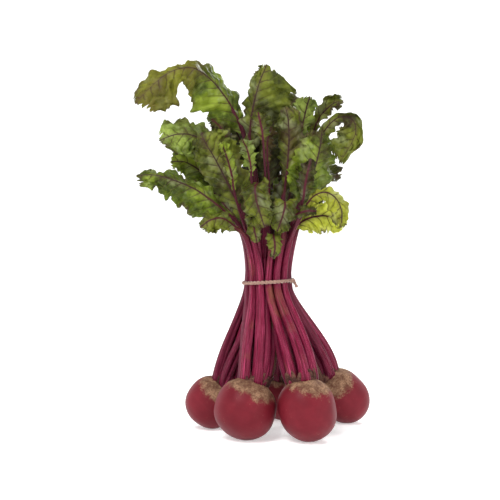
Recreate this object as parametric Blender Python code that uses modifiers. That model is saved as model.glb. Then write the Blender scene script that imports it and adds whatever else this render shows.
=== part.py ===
"""A bunch of beetroot: five roots, their leaf stalks and leaves, held by one turn of twine.

Lengths below are in millimetres, and M turns them into metres. The bunch is laid out about the upright
axis of its tie, and the whole is moved at the end so that the middle of its box stands on the origin.
"""

import math

import bmesh
import bpy
import numpy as np
from mathutils import Quaternion, Vector
from mathutils.bvhtree import BVHTree

M = 0.001
GAP = 0.3

# The photograph's frame: 500 pixels wide, seen level from VIEW_DISTANCE in front of the tie's axis.
MM_PER_PIXEL = 1.05
VIEW_DISTANCE = 900.0
EYE_PIXEL = (250.0, 250.0)
EYE_HEIGHT = 189.0
AXIS_PIXEL = 268.0

# The tie
TIE_HEIGHT = 156.0
TIE_SLOPE = 0.05
TWINE_RADIUS = 1.9
TWINE_GAP = 0.6
TWINE_SEGMENTS = 30
KNOT_RADIUS = 3.2
KNOT_AT = 28
KNOT_ENDS = ((5.0, -3.0, -6.5), (6.0, 2.0, 4.0))

# The leaf stalks: radius at the crown, 40 mm above it, in the tie and at the blade
STALK_RADII = (5.5, 5.17, 4.0, 2.6)
STALK_PICKS = (0, 6, 13, 20, 26, 32, 38, 45, 52, 58, 62, 64)
OUTER_RING = (15, 20.4)
INNER_RING = (8, 11.8)
CENTRE_OFFSET = 4.3
STALK_CLEARANCE = 0.8
CROWN_RADIUS = 16.0
CROWN_SPREAD = 10.2
CROWN_REACH = 5.0
# A stalk leaves its crown partly along the root's axis, partly upwards and partly outwards. The pulls say how
# long it keeps its direction at the crown, at the tie from below, and above the tie.
FOOT_WAY = (0.3, 0.7, 0.1)
LOWER_PULLS = (1.1, 0.65)
UPPER_PULL = 0.9
SPREAD_LEVELS = (40.0, 336.0, 6.0)
SPREAD_ROUNDS = 80
SPREAD_EASE = 14.0

# The leaf blades
BLADE_THICKNESS = 0.9
RIB_THICKNESS = 3.0
BASE_GAP = 0.6
BASE_HALF_WIDTH = 2.4
BASE_SHARE = 0.27
BASE_FLARE = 3.4
EDGE_ROUNDNESS = 0.5
LOBES = 4.3
LOBE_DEPTH = 0.1
RIPPLES = 2.6
PINCH_LENGTH = 0.09
TIP_START = 0.75
TIP_SWEEP = 0.35
BLADE_CLEARANCE = 3.0
ROWS = 12
COLUMNS = 7
GROWTH_STEPS = 36
SETTLE_STEPS = 40

# Each root: middle (x, y), radius across, half height, lean of its axis in degrees and the way it leans.
# The first four follow the photograph, and the fifth stands behind them.
FLAT_SPOT_DEPTH = 0.9
FULLNESS = 0.045
ROOTS = {
    "root_left": ((-60.0, 12.0), 27.6, 27.8, 40.0, (1.0, -0.1)),
    "root_front_left": ((-23.6, -42.0), 31.2, 31.0, 22.0, (0.8, 0.6)),
    "root_front_right": ((37.8, -50.0), 29.2, 32.2, 18.0, (-0.6, 0.8)),
    "root_right": ((82.0, 40.0), 27.0, 33.0, 45.0, (-1.0, -0.1)),
    "root_back": ((19.0, 60.0), 28.5, 28.5, 22.0, (-0.1, -1.0)),
}

# The places in the tie of each root's five stalks: outer ring, inner ring or centre, with its number.
SLOTS = {
    "root_front_right": (("outer", 0), ("outer", 1), ("outer", 2), ("inner", 0), ("inner", 1)),
    "root_right": (("outer", 3), ("outer", 4), ("outer", 5), ("inner", 2), ("centre", 1)),
    "root_back": (("outer", 6), ("outer", 7), ("outer", 8), ("inner", 3), ("inner", 4)),
    "root_left": (("outer", 9), ("outer", 10), ("outer", 11), ("inner", 5), ("centre", 0)),
    "root_front_left": (("outer", 12), ("outer", 13), ("outer", 14), ("inner", 6), ("inner", 7)),
}

# Each leaf: its place in the tie; its rib from base to tip as (pixel across, pixel down, mm behind the
# axis); the way its upper face looks at the base and at the tip; half widths left and right in mm, and how
# far along each is reached; how blunt its tip is; fold and curl of each half in degrees towards its face;
# wave of the margin in mm; where it is pinched, and how much.
LEAVES = {
    "top_left": dict(
        slot=("inner", 5),
        rib=((244, 134, 6), (232, 108, 0), (213, 82, -8), (192, 68, -16), (169, 73, -22), (150, 88, -24), (135, 104, -22)),
        face=((0.2, -0.9, 0.4), (0.0, -0.9, 0.4)),
        wide=(36, 28), peak=(0.40, 0.50), tip=0.68, fold=(-8, -22), curl=(-20, -30), wave=3.5, pinch=(0.65, 0.55),
    ),
    "oval_left": dict(
        slot=("outer", 11),
        rib=((236, 180, 2), (222, 159, -4), (206, 143, -12), (190, 135, -18), (174, 135, -21), (159, 141, -21)),
        face=((-0.3, -0.8, 0.6), (-0.1, -0.95, 0.3)),
        wide=(24, 21), peak=(0.74, 0.74), tip=0.5, fold=(5, 5), curl=(-15, -15), wave=2.0, pinch=None,
    ),
    "long_left": dict(
        slot=("inner", 6),
        rib=((247, 222, -8), (237, 202, -13), (226, 180, -19), (214, 158, -25), (204, 142, -27), (200, 132, -25)),
        face=((-0.2, -0.95, 0.1), (0.1, -0.9, 0.5)),
        wide=(24, 31), peak=(0.5, 0.55), tip=0.6, fold=(-24, 14), curl=(-25, 35), wave=4.0, pinch=None,
    ),
    "middle_left": dict(
        slot=("outer", 10),
        rib=((229, 202, 10), (214, 184, 9), (199, 170, 8), (184, 162, 8), (170, 162, 9)),
        face=((-0.4, -0.7, 0.6), (-0.2, -0.9, 0.4)),
        wide=(21, 25), peak=(0.55, 0.6), tip=0.5, fold=(15, 10), curl=(15, 20), wave=3.5, pinch=None,
    ),
    "low_left": dict(
        slot=("outer", 12),
        rib=((233, 219, -20), (217, 205, -31), (196, 190, -38), (173, 180, -41), (153, 175, -39), (136, 176, -35)),
        face=((-0.2, -0.85, 0.5), (-0.2, -0.9, 0.4)),
        wide=(25, 20), peak=(0.38, 0.45), tip=0.5, fold=(-10, -30), curl=(-25, -30), wave=4.0, pinch=(0.85, 0.3),
    ),
    "hanging_left": dict(
        slot=("outer", 13),
        rib=((240, 231, -25), (229, 222, -36), (219, 218, -44), (209, 221, -49), (200, 228, -50)),
        face=((-0.2, -0.8, 0.6), (-0.1, -0.95, 0.3)),
        wide=(15, 13), peak=(0.6, 0.6), tip=0.5, fold=(-10, -20), curl=(-10, -20), wave=2.4, pinch=None,
    ),
    "top_centre": dict(
        slot=("centre", 0),
        rib=((252, 160, -2), (250, 134, -8), (253, 108, -15), (259, 84, -21), (267, 64, -26)),
        face=((0.1, -0.95, 0.2), (0.2, -0.9, 0.2)),
        wide=(12, 42), peak=(0.6, 0.72), tip=0.58, fold=(-30, 0), curl=(-20, -8), wave=1.5, pinch=None,
    ),
    "upright_centre": dict(
        slot=("centre", 1),
        rib=((267, 190, 12), (268, 160, 14), (269, 132, 15), (267, 110, 14), (264, 94, 12)),
        face=((0.1, -0.95, 0.1), (0.1, -0.9, 0.3)),
        wide=(24, 24), peak=(0.5, 0.5), tip=0.4, fold=(0, 0), curl=(-10, -10), wave=3.5, pinch=None,
    ),
    "upright_right": dict(
        slot=("inner", 0),
        rib=((283, 200, -14), (287, 170, -18), (289, 140, -20), (288, 118, -24), (285, 106, -28)),
        face=((0.3, -0.9, 0.1), (0.2, -0.9, 0.3)),
        wide=(13, 17), peak=(0.7, 0.6), tip=0.5, fold=(-20, 15), curl=(-20, 20), wave=3.0, pinch=None,
    ),
    "pale_right": dict(
        slot=("inner", 2),
        rib=((292, 164, 18), (298, 142, 15), (303, 122, 10), (307, 106, 4), (310, 96, 0)),
        face=((0.2, -0.95, 0.2), (0.2, -0.95, 0.2)),
        wide=(21, 13), peak=(0.66, 0.7), tip=0.4, fold=(5, -10), curl=(-15, -20), wave=3.0, pinch=None,
    ),
    "narrow_right": dict(
        slot=("outer", 5),
        rib=((305, 156, 28), (312, 135, 22), (320, 117, 16), (329, 107, 10), (337, 102, 6), (344, 102, 4)),
        face=((-0.2, -0.95, 0.3), (-0.2, -0.95, 0.3)),
        wide=(11, 10), peak=(0.78, 0.78), tip=0.6, fold=(20, 20), curl=(20, 20), wave=1.5, pinch=(0.5, 0.4),
    ),
    "loop_right": dict(
        slot=("outer", 4),
        rib=((309, 182, 10), (316, 154, 4), (325, 130, -4), (340, 117, -10), (354, 121, -13), (355, 135, -13),
             (347, 150, -11), (338, 164, -9)),
        face=((-0.2, -0.95, 0.3), (0.2, -0.95, 0.1)),
        wide=(10, 21), peak=(0.72, 0.80), tip=0.5, fold=(20, -5), curl=(10, -15), wave=1.5, pinch=(0.56, 0.4),
    ),
    "broad_right": dict(
        slot=("outer", 3),
        rib=((298, 208, -12), (307, 188, -20), (315, 167, -25), (320, 147, -26), (322, 130, -22)),
        face=((0.2, -0.95, 0.2), (0.2, -0.95, 0.2)),
        wide=(27, 28), peak=(0.48, 0.5), tip=0.45, fold=(16, -18), curl=(-30, -35), wave=4.0, pinch=None,
    ),
    "low_right": dict(
        slot=("outer", 2),
        rib=((296, 224, -20), (305, 207, -30), (316, 195, -37), (329, 193, -40), (338, 202, -39), (342, 215, -36),
             (340, 228, -32)),
        face=((0.1, -0.9, 0.5), (0.1, -0.95, 0.1)),
        wide=(11, 14), peak=(0.72, 0.72), tip=0.4, fold=(-20, 10), curl=(-20, -20), wave=2.0, pinch=(0.5, 0.25),
    ),
    "lit_right": dict(
        slot=("inner", 1),
        rib=((293, 229, 4), (305, 220, -1), (320, 216, -5), (335, 218, -8), (347, 225, -8)),
        face=((0.0, -0.95, 0.3), (0.1, -0.95, 0.3)),
        wide=(16, 20), peak=(0.5, 0.55), tip=0.45, fold=(0, 0), curl=(-10, -15), wave=1.5, pinch=None,
    ),
    "front_centre": dict(
        slot=("inner", 7),
        rib=((262, 190, -28), (258, 183, -39), (255, 189, -50), (257, 203, -54), (261, 216, -53), (265, 228, -49)),
        face=((0.0, -0.5, 0.9), (0.0, -1.0, 0.0)),
        wide=(16, 16), peak=(0.5, 0.5), tip=0.4, fold=(12, -4), curl=(10, -20), wave=3.0, pinch=None,
    ),
    "front_right": dict(
        slot=("outer", 1),
        rib=((286, 210, -24), (285, 202, -35), (285, 206, -43), (283, 215, -46), (280, 224, -45), (277, 232, -42)),
        face=((0.0, -0.5, 0.9), (0.0, -1.0, 0.0)),
        wide=(14, 13), peak=(0.5, 0.5), tip=0.4, fold=(15, 5), curl=(15, 10), wave=2.0, pinch=None,
    ),
    "hanging_centre": dict(
        slot=("outer", 0),
        rib=((272, 241, -24), (273, 234, -33), (274, 238, -40), (275, 248, -42), (273, 259, -40)),
        face=((0.0, -0.5, 0.9), (0.0, -1.0, 0.0)),
        wide=(8, 8), peak=(0.5, 0.5), tip=0.2, fold=(10, -10), curl=(15, -15), wave=1.2, pinch=None,
    ),
    "grey_left": dict(
        slot=("outer", 14),
        rib=((251, 226, -26), (251, 219, -35), (253, 223, -42), (255, 233, -44), (257, 243, -42)),
        face=((0.0, -0.5, 0.9), (0.0, -1.0, 0.0)),
        wide=(8, 8), peak=(0.5, 0.5), tip=0.3, fold=(10, 10), curl=(10, 15), wave=1.2, pinch=None,
    ),
    "back_right_low": dict(
        slot=("outer", 6),
        rib=((301, 200, 38), (312, 177, 54), (321, 166, 70), (328, 168, 85), (332, 182, 96)),
        face=((-0.4, -0.4, 0.8), (0.4, 0.5, 0.8)),
        wide=(26, 26), peak=(0.5, 0.5), tip=0.25, fold=(-8, -8), curl=(-20, -20), wave=4.5, pinch=None,
    ),
    "back_right_high": dict(
        slot=("outer", 7),
        rib=((287, 172, 32), (292, 144, 44), (298, 124, 58), (303, 120, 74), (306, 131, 90)),
        face=((-0.2, -0.8, 0.5), (0.2, 0.5, 0.8)),
        wide=(26, 26), peak=(0.5, 0.5), tip=0.25, fold=(-5, -8), curl=(-20, -20), wave=4.5, pinch=None,
    ),
    "back_low": dict(
        slot=("outer", 8),
        rib=((268, 208, 36), (265, 189, 46), (263, 174, 62), (262, 170, 80), (262, 181, 96)),
        face=((0.0, -0.5, 0.8), (0.0, 0.6, 0.8)),
        wide=(24, 25), peak=(0.5, 0.5), tip=0.25, fold=(-8, -8), curl=(-20, -15), wave=4.5, pinch=None,
    ),
    "back_left_low": dict(
        slot=("outer", 9),
        rib=((246, 202, 32), (233, 182, 47), (221, 171, 62), (210, 174, 76), (204, 187, 86)),
        face=((0.3, -0.4, 0.8), (-0.4, 0.5, 0.8)),
        wide=(24, 22), peak=(0.5, 0.5), tip=0.25, fold=(-8, -8), curl=(-20, -20), wave=4.5, pinch=None,
    ),
    "back_high": dict(
        slot=("inner", 3),
        rib=((272, 166, 28), (276, 138, 34), (280, 112, 40), (283, 96, 50), (284, 92, 64)),
        face=((0.0, -0.9, 0.3), (0.0, -0.1, 0.9)),
        wide=(25, 26), peak=(0.5, 0.5), tip=0.25, fold=(-8, -5), curl=(-15, -20), wave=4.0, pinch=None,
    ),
    "back_left_high": dict(
        slot=("inner", 4),
        rib=((252, 170, 22), (241, 142, 33), (231, 122, 44), (222, 113, 58), (214, 118, 72)),
        face=((0.2, -0.8, 0.5), (-0.3, 0.4, 0.8)),
        wide=(26, 26), peak=(0.5, 0.5), tip=0.25, fold=(-5, -8), curl=(-20, -20), wave=4.5, pinch=None,
    ),
}

COLOURS = {
    "root": ((0.235, 0.034, 0.042), 0.55),
    "stalk": ((0.30, 0.017, 0.065), 0.40),
    "leaf": ((0.115, 0.19, 0.035), 0.55),
    "twine": ((0.48, 0.29, 0.20), 0.90),
}


def clear_scene():
    for item in list(bpy.data.objects):
        bpy.data.objects.remove(item)


def new_collection(name):
    collection = bpy.data.collections.new(name)
    bpy.context.scene.collection.children.link(collection)
    return collection


def make_material(name):
    colour, roughness = COLOURS[name]
    material = bpy.data.materials.new(name)
    material.use_nodes = True
    shader = material.node_tree.nodes["Principled BSDF"]
    shader.inputs["Base Color"].default_value = (*colour, 1.0)
    shader.inputs["Roughness"].default_value = roughness
    shader.inputs["Metallic"].default_value = 0.0
    return material


def add_mesh(name, bm, collection, material):
    mesh = bpy.data.meshes.new(name)
    bm.to_mesh(mesh)
    bm.free()
    made = bpy.data.objects.new(name, mesh)
    collection.objects.link(made)
    made.data.materials.append(material)
    return made


def apply_modifiers(made):
    """Turns an object, curve or mesh, into the mesh that its modifiers give."""
    graph = bpy.context.evaluated_depsgraph_get()
    mesh = bpy.data.meshes.new_from_object(made.evaluated_get(graph))
    name, material = made.name, made.data.materials[0]
    place = made.matrix_world.copy()
    collection = made.users_collection[0]
    bpy.data.objects.remove(made)
    mesh.transform(place)
    solid = bpy.data.objects.new(name, mesh)
    collection.objects.link(solid)
    if not mesh.materials:
        mesh.materials.append(material)
    return solid


def weld(mesh):
    bm = bmesh.new()
    bm.from_mesh(mesh)
    bmesh.ops.remove_doubles(bm, verts=bm.verts, dist=0.00001)
    bm.to_mesh(mesh)
    bm.free()


def unit(v):
    return v / max(np.linalg.norm(v), 1e-9)


def place(across, down, back):
    """A point in mm from its pixel in the photograph and its depth behind the tie's axis."""
    scale = MM_PER_PIXEL * (VIEW_DISTANCE + back) / VIEW_DISTANCE
    x = (across - EYE_PIXEL[0]) * scale - (AXIS_PIXEL - EYE_PIXEL[0]) * MM_PER_PIXEL
    z = EYE_HEIGHT - (down - EYE_PIXEL[1]) * scale
    return np.array((x, back, z))


def smooth_path(points, count):
    """A curve through the points, read at count even steps of its parameter."""
    p = np.array(points, float)
    p = np.vstack((2 * p[0] - p[1], p, 2 * p[-1] - p[-2]))
    found = []
    for t in np.linspace(0, len(p) - 3, count):
        i = min(int(t), len(p) - 4)
        s = t - i
        a, b, c, d = p[i : i + 4]
        bend, twist = 2 * a - 5 * b + 4 * c - d, 3 * b - a - 3 * c + d
        found.append(0.5 * (2 * b + (c - a) * s + bend * s**2 + twist * s**3))
    return np.array(found)


def even_path(points, count):
    """The same curve, read at even steps of its length."""
    fine = smooth_path(points, 200)
    run = np.concatenate(((0,), np.cumsum(np.linalg.norm(np.diff(fine, axis=0), axis=1))))
    steps = np.linspace(0, run[-1], count)
    return np.stack([np.interp(steps, run, fine[:, k]) for k in range(3)], axis=1)


def root_profile(radius, half_height):
    """The root's outline from its flat crown down to the foot of its axis, as (distance out, height)."""
    top = math.asin(CROWN_RADIUS / radius)
    points = [(0.0, half_height * math.cos(top))]
    for k in range(10):
        angle = top + (math.pi - top) * k / 9
        fullness = 1.0 + FULLNESS * math.sin(2 * angle) ** 2
        points.append((radius * fullness * math.sin(angle), half_height * math.cos(angle)))
    points[-1] = (0.0, -half_height)
    return points


def root_lean(name):
    """The turn that leans a root's axis the way it leans in the bunch."""
    _, _, _, lean, towards = ROOTS[name]
    way = Vector((towards[0], towards[1], 0)).normalized()
    return Quaternion(Vector((0, 0, 1)).cross(way), math.radians(lean))


def root_middle(name):
    """The middle of a root, as high as its lowest point and its flat spot ask."""
    (x, y), radius, half_height, lean, _ = ROOTS[name]
    lean = math.radians(lean)
    outline = root_profile(radius, half_height)
    drop = max(out * math.sin(lean) - height * math.cos(lean) for out, height in outline)
    return Vector((x, y, drop - FLAT_SPOT_DEPTH))


def crown_middle(name):
    """The middle of a root's flat crown, and the way that the crown looks."""
    profile = root_profile(*ROOTS[name][1:3])
    way = root_lean(name) @ Vector((0, 0, 1))
    return root_middle(name) + way * profile[0][1], way


def block(name, collection, size):
    bm = bmesh.new()
    bmesh.ops.create_cube(bm, size=size * M)
    mesh = bpy.data.meshes.new(name)
    bm.to_mesh(mesh)
    bm.free()
    made = bpy.data.objects.new(name, mesh)
    collection.objects.link(made)
    made.hide_render = True
    made.display_type = "WIRE"
    return made


def cut(made, cutter):
    step = made.modifiers.new(cutter.name, "BOOLEAN")
    step.operation = "DIFFERENCE"
    step.object = cutter


def make_root(name, parts, ground, material):
    """A turned root, leaning, with a small flat spot under it and a flat crown for its stalks."""
    bm = bmesh.new()
    verts = [bm.verts.new((r * M, 0, z * M)) for r, z in root_profile(*ROOTS[name][1:3])]
    for a, b in zip(verts, verts[1:]):
        bm.edges.new((a, b))
    root = add_mesh(name, bm, parts, material)
    screw = root.modifiers.new("turn", "SCREW")
    screw.steps = screw.render_steps = 18
    screw.use_merge_vertices = True
    screw.merge_threshold = 0.00001
    root.rotation_mode = "QUATERNION"
    root.rotation_quaternion = root_lean(name)
    root.location = root_middle(name) * M
    bpy.context.view_layer.update()
    root = apply_modifiers(root)
    cut(root, ground)
    root = apply_modifiers(root)
    root.data.shade_smooth()
    root.data.set_sharp_from_angle(angle=math.radians(40))
    return root


def crown_cutter(name, cutters):
    """A block with its top a gap above the root's crown, which trims the stalks' feet flush."""
    size = 60.0
    middle, way = crown_middle(name)
    made = block(name + "_crown", cutters, size)
    made.rotation_mode = "QUATERNION"
    made.rotation_quaternion = root_lean(name)
    made.location = (middle + way * (GAP - size / 2)) * M
    return made


def tie_place(slot):
    """The place of a stalk in the tie, as (x, y)."""
    ring, number = slot
    if ring == "centre":
        return np.array((CENTRE_OFFSET * (2 * number - 1), 0.0))
    count, radius = OUTER_RING if ring == "outer" else INNER_RING
    start = -90.0 if ring == "outer" else -67.5
    angle = math.radians(start + 360.0 * number / count)
    return radius * np.array((math.cos(angle), math.sin(angle)))


def crown_places(name):
    """The feet of a root's five stalks on its crown, matched to the nearest places in the tie."""
    middle, way = crown_middle(name)
    ties = [tie_place(slot) for slot in SLOTS[name]]
    centre = np.mean(ties, axis=0)
    turns = [math.atan2(*(t - centre)[::-1]) for t in ties]
    order = sorted(range(5), key=lambda k: turns[k])
    start = np.mean([turns[k] - 2 * math.pi * n / 5 for n, k in enumerate(order)])
    feet = {}
    for n, k in enumerate(order):
        angle = start + 2 * math.pi * n / 5
        out = root_lean(name) @ Vector((math.cos(angle), math.sin(angle), 0))
        foot = middle + out * CROWN_SPREAD - way * CROWN_REACH
        along, up, outward = FOOT_WAY
        rise = unit(np.array(way * along + Vector((0, 0, up)) + out * outward))
        feet[SLOTS[name][k]] = (np.array(foot), rise)
    return feet


def hermite(a, ta, b, tb, s):
    s = s[:, None]
    h = 2 * s**3 - 3 * s**2 + 1, s**3 - 2 * s**2 + s, -2 * s**3 + 3 * s**2, s**3 - s**2
    return h[0] * a + h[1] * ta + h[2] * b + h[3] * tb


def stalk_path(foot, foot_way, slot, top, top_way):
    """A stalk's middle line, in 32 steps up from its crown to the tie and 32 on to its blade."""
    tie = np.array((*tie_place(slot), TIE_HEIGHT))
    reach = np.linalg.norm(tie - foot)
    upper_pull = np.linalg.norm(top - tie) * UPPER_PULL
    s = np.linspace(0, 1, 33)
    up = np.array((0, 0, 1.0))
    lower = hermite(foot, foot_way * reach * LOWER_PULLS[0], tie, up * reach * LOWER_PULLS[1], s)
    upper = hermite(tie, up * upper_pull, top, top_way * upper_pull, s)
    return np.vstack((lower, upper[1:]))


def stalk_radius(height, foot, top):
    heights = (foot, foot + 40, TIE_HEIGHT, max(top, TIE_HEIGHT + 30))
    return float(np.interp(height, heights, STALK_RADII))


def at_height(path, level):
    """The place (x, y) of a stalk at a height, and the way it runs there."""
    spot = np.array([np.interp(level, path[:, 2], path[:, k]) for k in (0, 1)])
    ahead = np.array([np.interp(level + 3, path[:, 2], path[:, k]) for k in (0, 1)])
    return spot, unit(np.array((*(ahead - spot), 3.0)))


def spread_stalks(paths):
    """Moves the stalks apart, level by level, where they would touch. Both ends stay in place."""
    levels = np.arange(*SPREAD_LEVELS)
    shifts = {name: np.zeros((len(levels), 2)) for name in paths}
    for n, level in enumerate(levels):
        names = [name for name, path in paths.items() if path[0, 2] <= level <= path[-1, 2]]
        here = {name: at_height(paths[name], level) for name in names}
        spots = {name: here[name][0] for name in names}
        radii = {name: stalk_radius(level, paths[name][0, 2], paths[name][-1, 2]) for name in names}
        for _ in range(SPREAD_ROUNDS):
            for i, a in enumerate(names):
                for b in names[i + 1 :]:
                    way = spots[b] - spots[a]
                    run = unit(here[a][1] + here[b][1])
                    between = np.array((*way, 0.0))
                    apart = np.linalg.norm(between - between.dot(run) * run)
                    need = radii[a] + radii[b] + STALK_CLEARANCE
                    if apart < need:
                        push = unit(way) * (need - apart) / 2
                        spots[a] = spots[a] - push
                        spots[b] = spots[b] + push
        for name in names:
            shifts[name][n] = spots[name] - here[name][0]
    moved = {}
    for name, path in paths.items():
        low, high = path[0, 2], path[-1, 2]
        new = path.copy()
        for k in (0, 1):
            smooth = np.convolve(np.pad(shifts[name][:, k], 1, "edge"), (0.2, 0.6, 0.2), "valid")
            to_end = np.minimum(path[:, 2] - low, high - path[:, 2])
            ease = np.clip(to_end / SPREAD_EASE, 0, 1)
            new[:, k] += np.interp(path[:, 2], levels, smooth) * ease
        moved[name] = new
    return moved


def leaf_frames(leaf, count):
    """Places along a leaf's rib, with the ways along it, to its right and up from its face."""
    rib = even_path([place(*p) for p in leaf["rib"]], count)
    along = np.gradient(rib, axis=0)
    first, last = (np.array(v, float) for v in leaf["face"])
    frames = []
    for k in range(count):
        t = k / (count - 1)
        way = unit(along[k])
        face = unit(first * (1 - t) + last * t)
        face = unit(face - face.dot(way) * way)
        frames.append((rib[k], way, np.cross(way, face), face))
    return frames


def half_width(leaf, t, side, grown):
    """Half the blade's width at t of its length, on the left (-1) or right (1)."""
    half = 0 if side < 0 else 1
    peak = leaf["peak"][half]
    outline = max(0.0, math.sin(math.pi * t ** (math.log(0.5) / math.log(peak)))) ** EDGE_ROUNDNESS
    outline *= min(1.0, BASE_SHARE + BASE_FLARE * t)
    if t > peak:
        outline = leaf["tip"] + (1 - leaf["tip"]) * outline
    if leaf["pinch"]:
        at, depth = leaf["pinch"]
        outline *= 1 - depth * math.exp(-(((t - at) / PINCH_LENGTH) ** 2))
    lobes = 1 + LOBE_DEPTH * math.sin(2 * math.pi * LOBES * t + 1.7 * side)
    return max(BASE_HALF_WIDTH, leaf["wide"][half] * outline * lobes * grown)


def blade_surface(leaf, frames, columns, grown):
    """The blade's middle surface as rows of points from base to tip, at a share of its full width."""
    rows = []
    for k, (middle, way, right, face) in enumerate(frames):
        t = k / (len(frames) - 1)
        swept = TIP_SWEEP * (max(0.0, t - TIP_START) / (1 - TIP_START)) ** 2
        row = []
        for u in np.linspace(-1, 1, columns):
            side = -1 if u < 0 else 1
            half = 0 if u < 0 else 1
            angle = math.radians(leaf["fold"][half] + leaf["curl"][half] * abs(u) / 2) * min(1, 4 * t)
            widest = half_width(leaf, t, side, grown)
            reach = abs(u) * widest
            ripple = leaf["wave"] * grown * u * u * math.sin(math.pi * t)
            ripple *= math.sin(2 * math.pi * RIPPLES * t + 2.1 * side)
            out = right * side * reach * math.cos(angle) + face * (reach * math.sin(angle) + ripple)
            row.append(middle + out - way * widest * swept * u * u)
        rows.append(row)
    return np.array(rows)


def grid_triangles(rows, columns):
    found = []
    for r in range(rows - 1):
        for c in range(columns - 1):
            a = r * columns + c
            b, d, e = a + 1, a + columns, a + columns + 1
            found += [(a, b, e), (a, e, d)] if (r + c) % 2 else [(a, b, d), (b, e, d)]
    return found


def tube_triangles(path, radii, sides=6):
    """A plain tube round a stalk, as points and triangles, for the leaves to keep clear of."""
    points, triangles = [], []
    for (x, y, z), r in zip(path, radii):
        for k in range(sides):
            angle = 2 * math.pi * k / sides
            points.append((x + r * math.cos(angle), y + r * math.sin(angle), z))
    for n in range(len(path) - 1):
        for k in range(sides):
            a, b = n * sides + k, n * sides + (k + 1) % sides
            triangles += [(a, b, b + sides), (a, b + sides, a + sides)]
    return points, triangles


def ease_shifts(shift):
    """Evens a blade's shifts out over its surface, with its base held."""
    padded = np.pad(shift, ((1, 1), (1, 1), (0, 0)), "edge")
    around = (padded[:-2, 1:-1] + padded[2:, 1:-1] + padded[1:-1, :-2] + padded[1:-1, 2:]) / 4
    eased = shift * 0.6 + around * 0.4
    eased[0] = 0
    eased[1] *= 0.6
    return eased


def settle_blades(stalks, radii):
    """Grows every blade out from its rib in small steps, and pushes it clear of the others and of stalks."""
    names = list(LEAVES)
    frames = {name: leaf_frames(LEAVES[name], ROWS) for name in names}
    shifts = {name: np.zeros((ROWS, COLUMNS, 3)) for name in names}
    faces = grid_triangles(ROWS, COLUMNS)
    corners = np.array(faces)
    tubes = {name: tube_triangles(stalks[name][::4], radii[name][::4]) for name in names}
    blades = {}
    for step in range(GROWTH_STEPS + SETTLE_STEPS):
        grown = min(1.0, 0.1 + 0.9 * (step + 1) / GROWTH_STEPS)
        points, triangles, owners = [], [], []
        for n, name in enumerate(names):
            blade = blade_surface(LEAVES[name], frames[name], COLUMNS, grown) + shifts[name]
            blades[name] = blade
            triangles += [tuple(len(points) + i for i in f) for f in faces]
            points += [tuple(p) for p in blade.reshape(-1, 3)]
            owners += [n] * len(faces)
        for n, name in enumerate(names):
            tube_points, tube_faces = tubes[name]
            triangles += [tuple(len(points) + i for i in f) for f in tube_faces]
            points += tube_points
            owners += [-1 - n] * len(tube_faces)
        tree = BVHTree.FromPolygons(points, triangles)
        for n, name in enumerate(names):
            flat = blades[name].reshape(-1, 3)
            push = np.zeros_like(flat)
            weight = np.full(len(flat), 1e-6)
            samples = [(flat[i], (i,)) for i in range(COLUMNS, len(flat))]
            samples += [(flat[c].mean(axis=0), tuple(c)) for c in corners[2 * (COLUMNS - 1) :]]
            for point, who in samples:
                best = {}
                for spot, _, face, apart in tree.find_nearest_range(Vector(point), BLADE_CLEARANCE):
                    owner = owners[face]
                    if owner == n or (owner == -1 - n and who[0] < 2 * COLUMNS):
                        continue
                    if owner not in best or apart < best[owner][0]:
                        best[owner] = (apart, spot)
                for owner, (apart, spot) in best.items():
                    share = 0.55 if owner >= 0 else 1.0
                    away = unit(point - np.array(spot)) * (BLADE_CLEARANCE - apart) * share
                    for i in who:
                        push[i] += away
                        weight[i] += 1
            shifts[name] += (push / np.maximum(weight, 1)[:, None]).reshape(shifts[name].shape)
            if step < GROWTH_STEPS + SETTLE_STEPS - 6:
                shifts[name] = ease_shifts(shifts[name])
            shifts[name][0] = 0
    return blades


def make_blade(name, blade, parts, material):
    """One leaf blade: a grid laid over its surface, thickened, with most of the thickness along its rib."""
    bm = bmesh.new()
    bmesh.ops.create_grid(bm, x_segments=COLUMNS - 1, y_segments=ROWS - 1, size=1.0)
    bm.verts.ensure_lookup_table()
    order = sorted(bm.verts, key=lambda v: (round(v.co.y, 4), round(v.co.x, 4)))
    for v, p in zip(order, blade.reshape(-1, 3)):
        v.co = Vector(p) * M
    for n, v in enumerate(order):
        v.index = n
    bm.verts.sort()
    halves = {frozenset(f) for f in grid_triangles(ROWS, COLUMNS)}
    for face in list(bm.faces):
        loop = sorted(v.index for v in face.verts)
        pair = (loop[0], loop[3]) if frozenset(loop[:2] + loop[3:]) in halves else (loop[1], loop[2])
        bmesh.utils.face_split(face, *(v for v in face.verts if v.index in pair))
    made = add_mesh("leaf_" + name, bm, parts, material)
    group = made.vertex_groups.new(name="thickness")
    for n in range(ROWS * COLUMNS):
        row, column = divmod(n, COLUMNS)
        along = row / (ROWS - 1)
        middle = column == COLUMNS // 2 or row == 0
        thick = RIB_THICKNESS * (1 - 0.7 * along) if middle else BLADE_THICKNESS
        group.add([n], thick / RIB_THICKNESS, "REPLACE")
    shell = made.modifiers.new("thickness", "SOLIDIFY")
    shell.thickness = RIB_THICKNESS * M
    shell.offset = 0.0
    shell.vertex_group = group.name
    made.data.shade_smooth()
    return made


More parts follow.
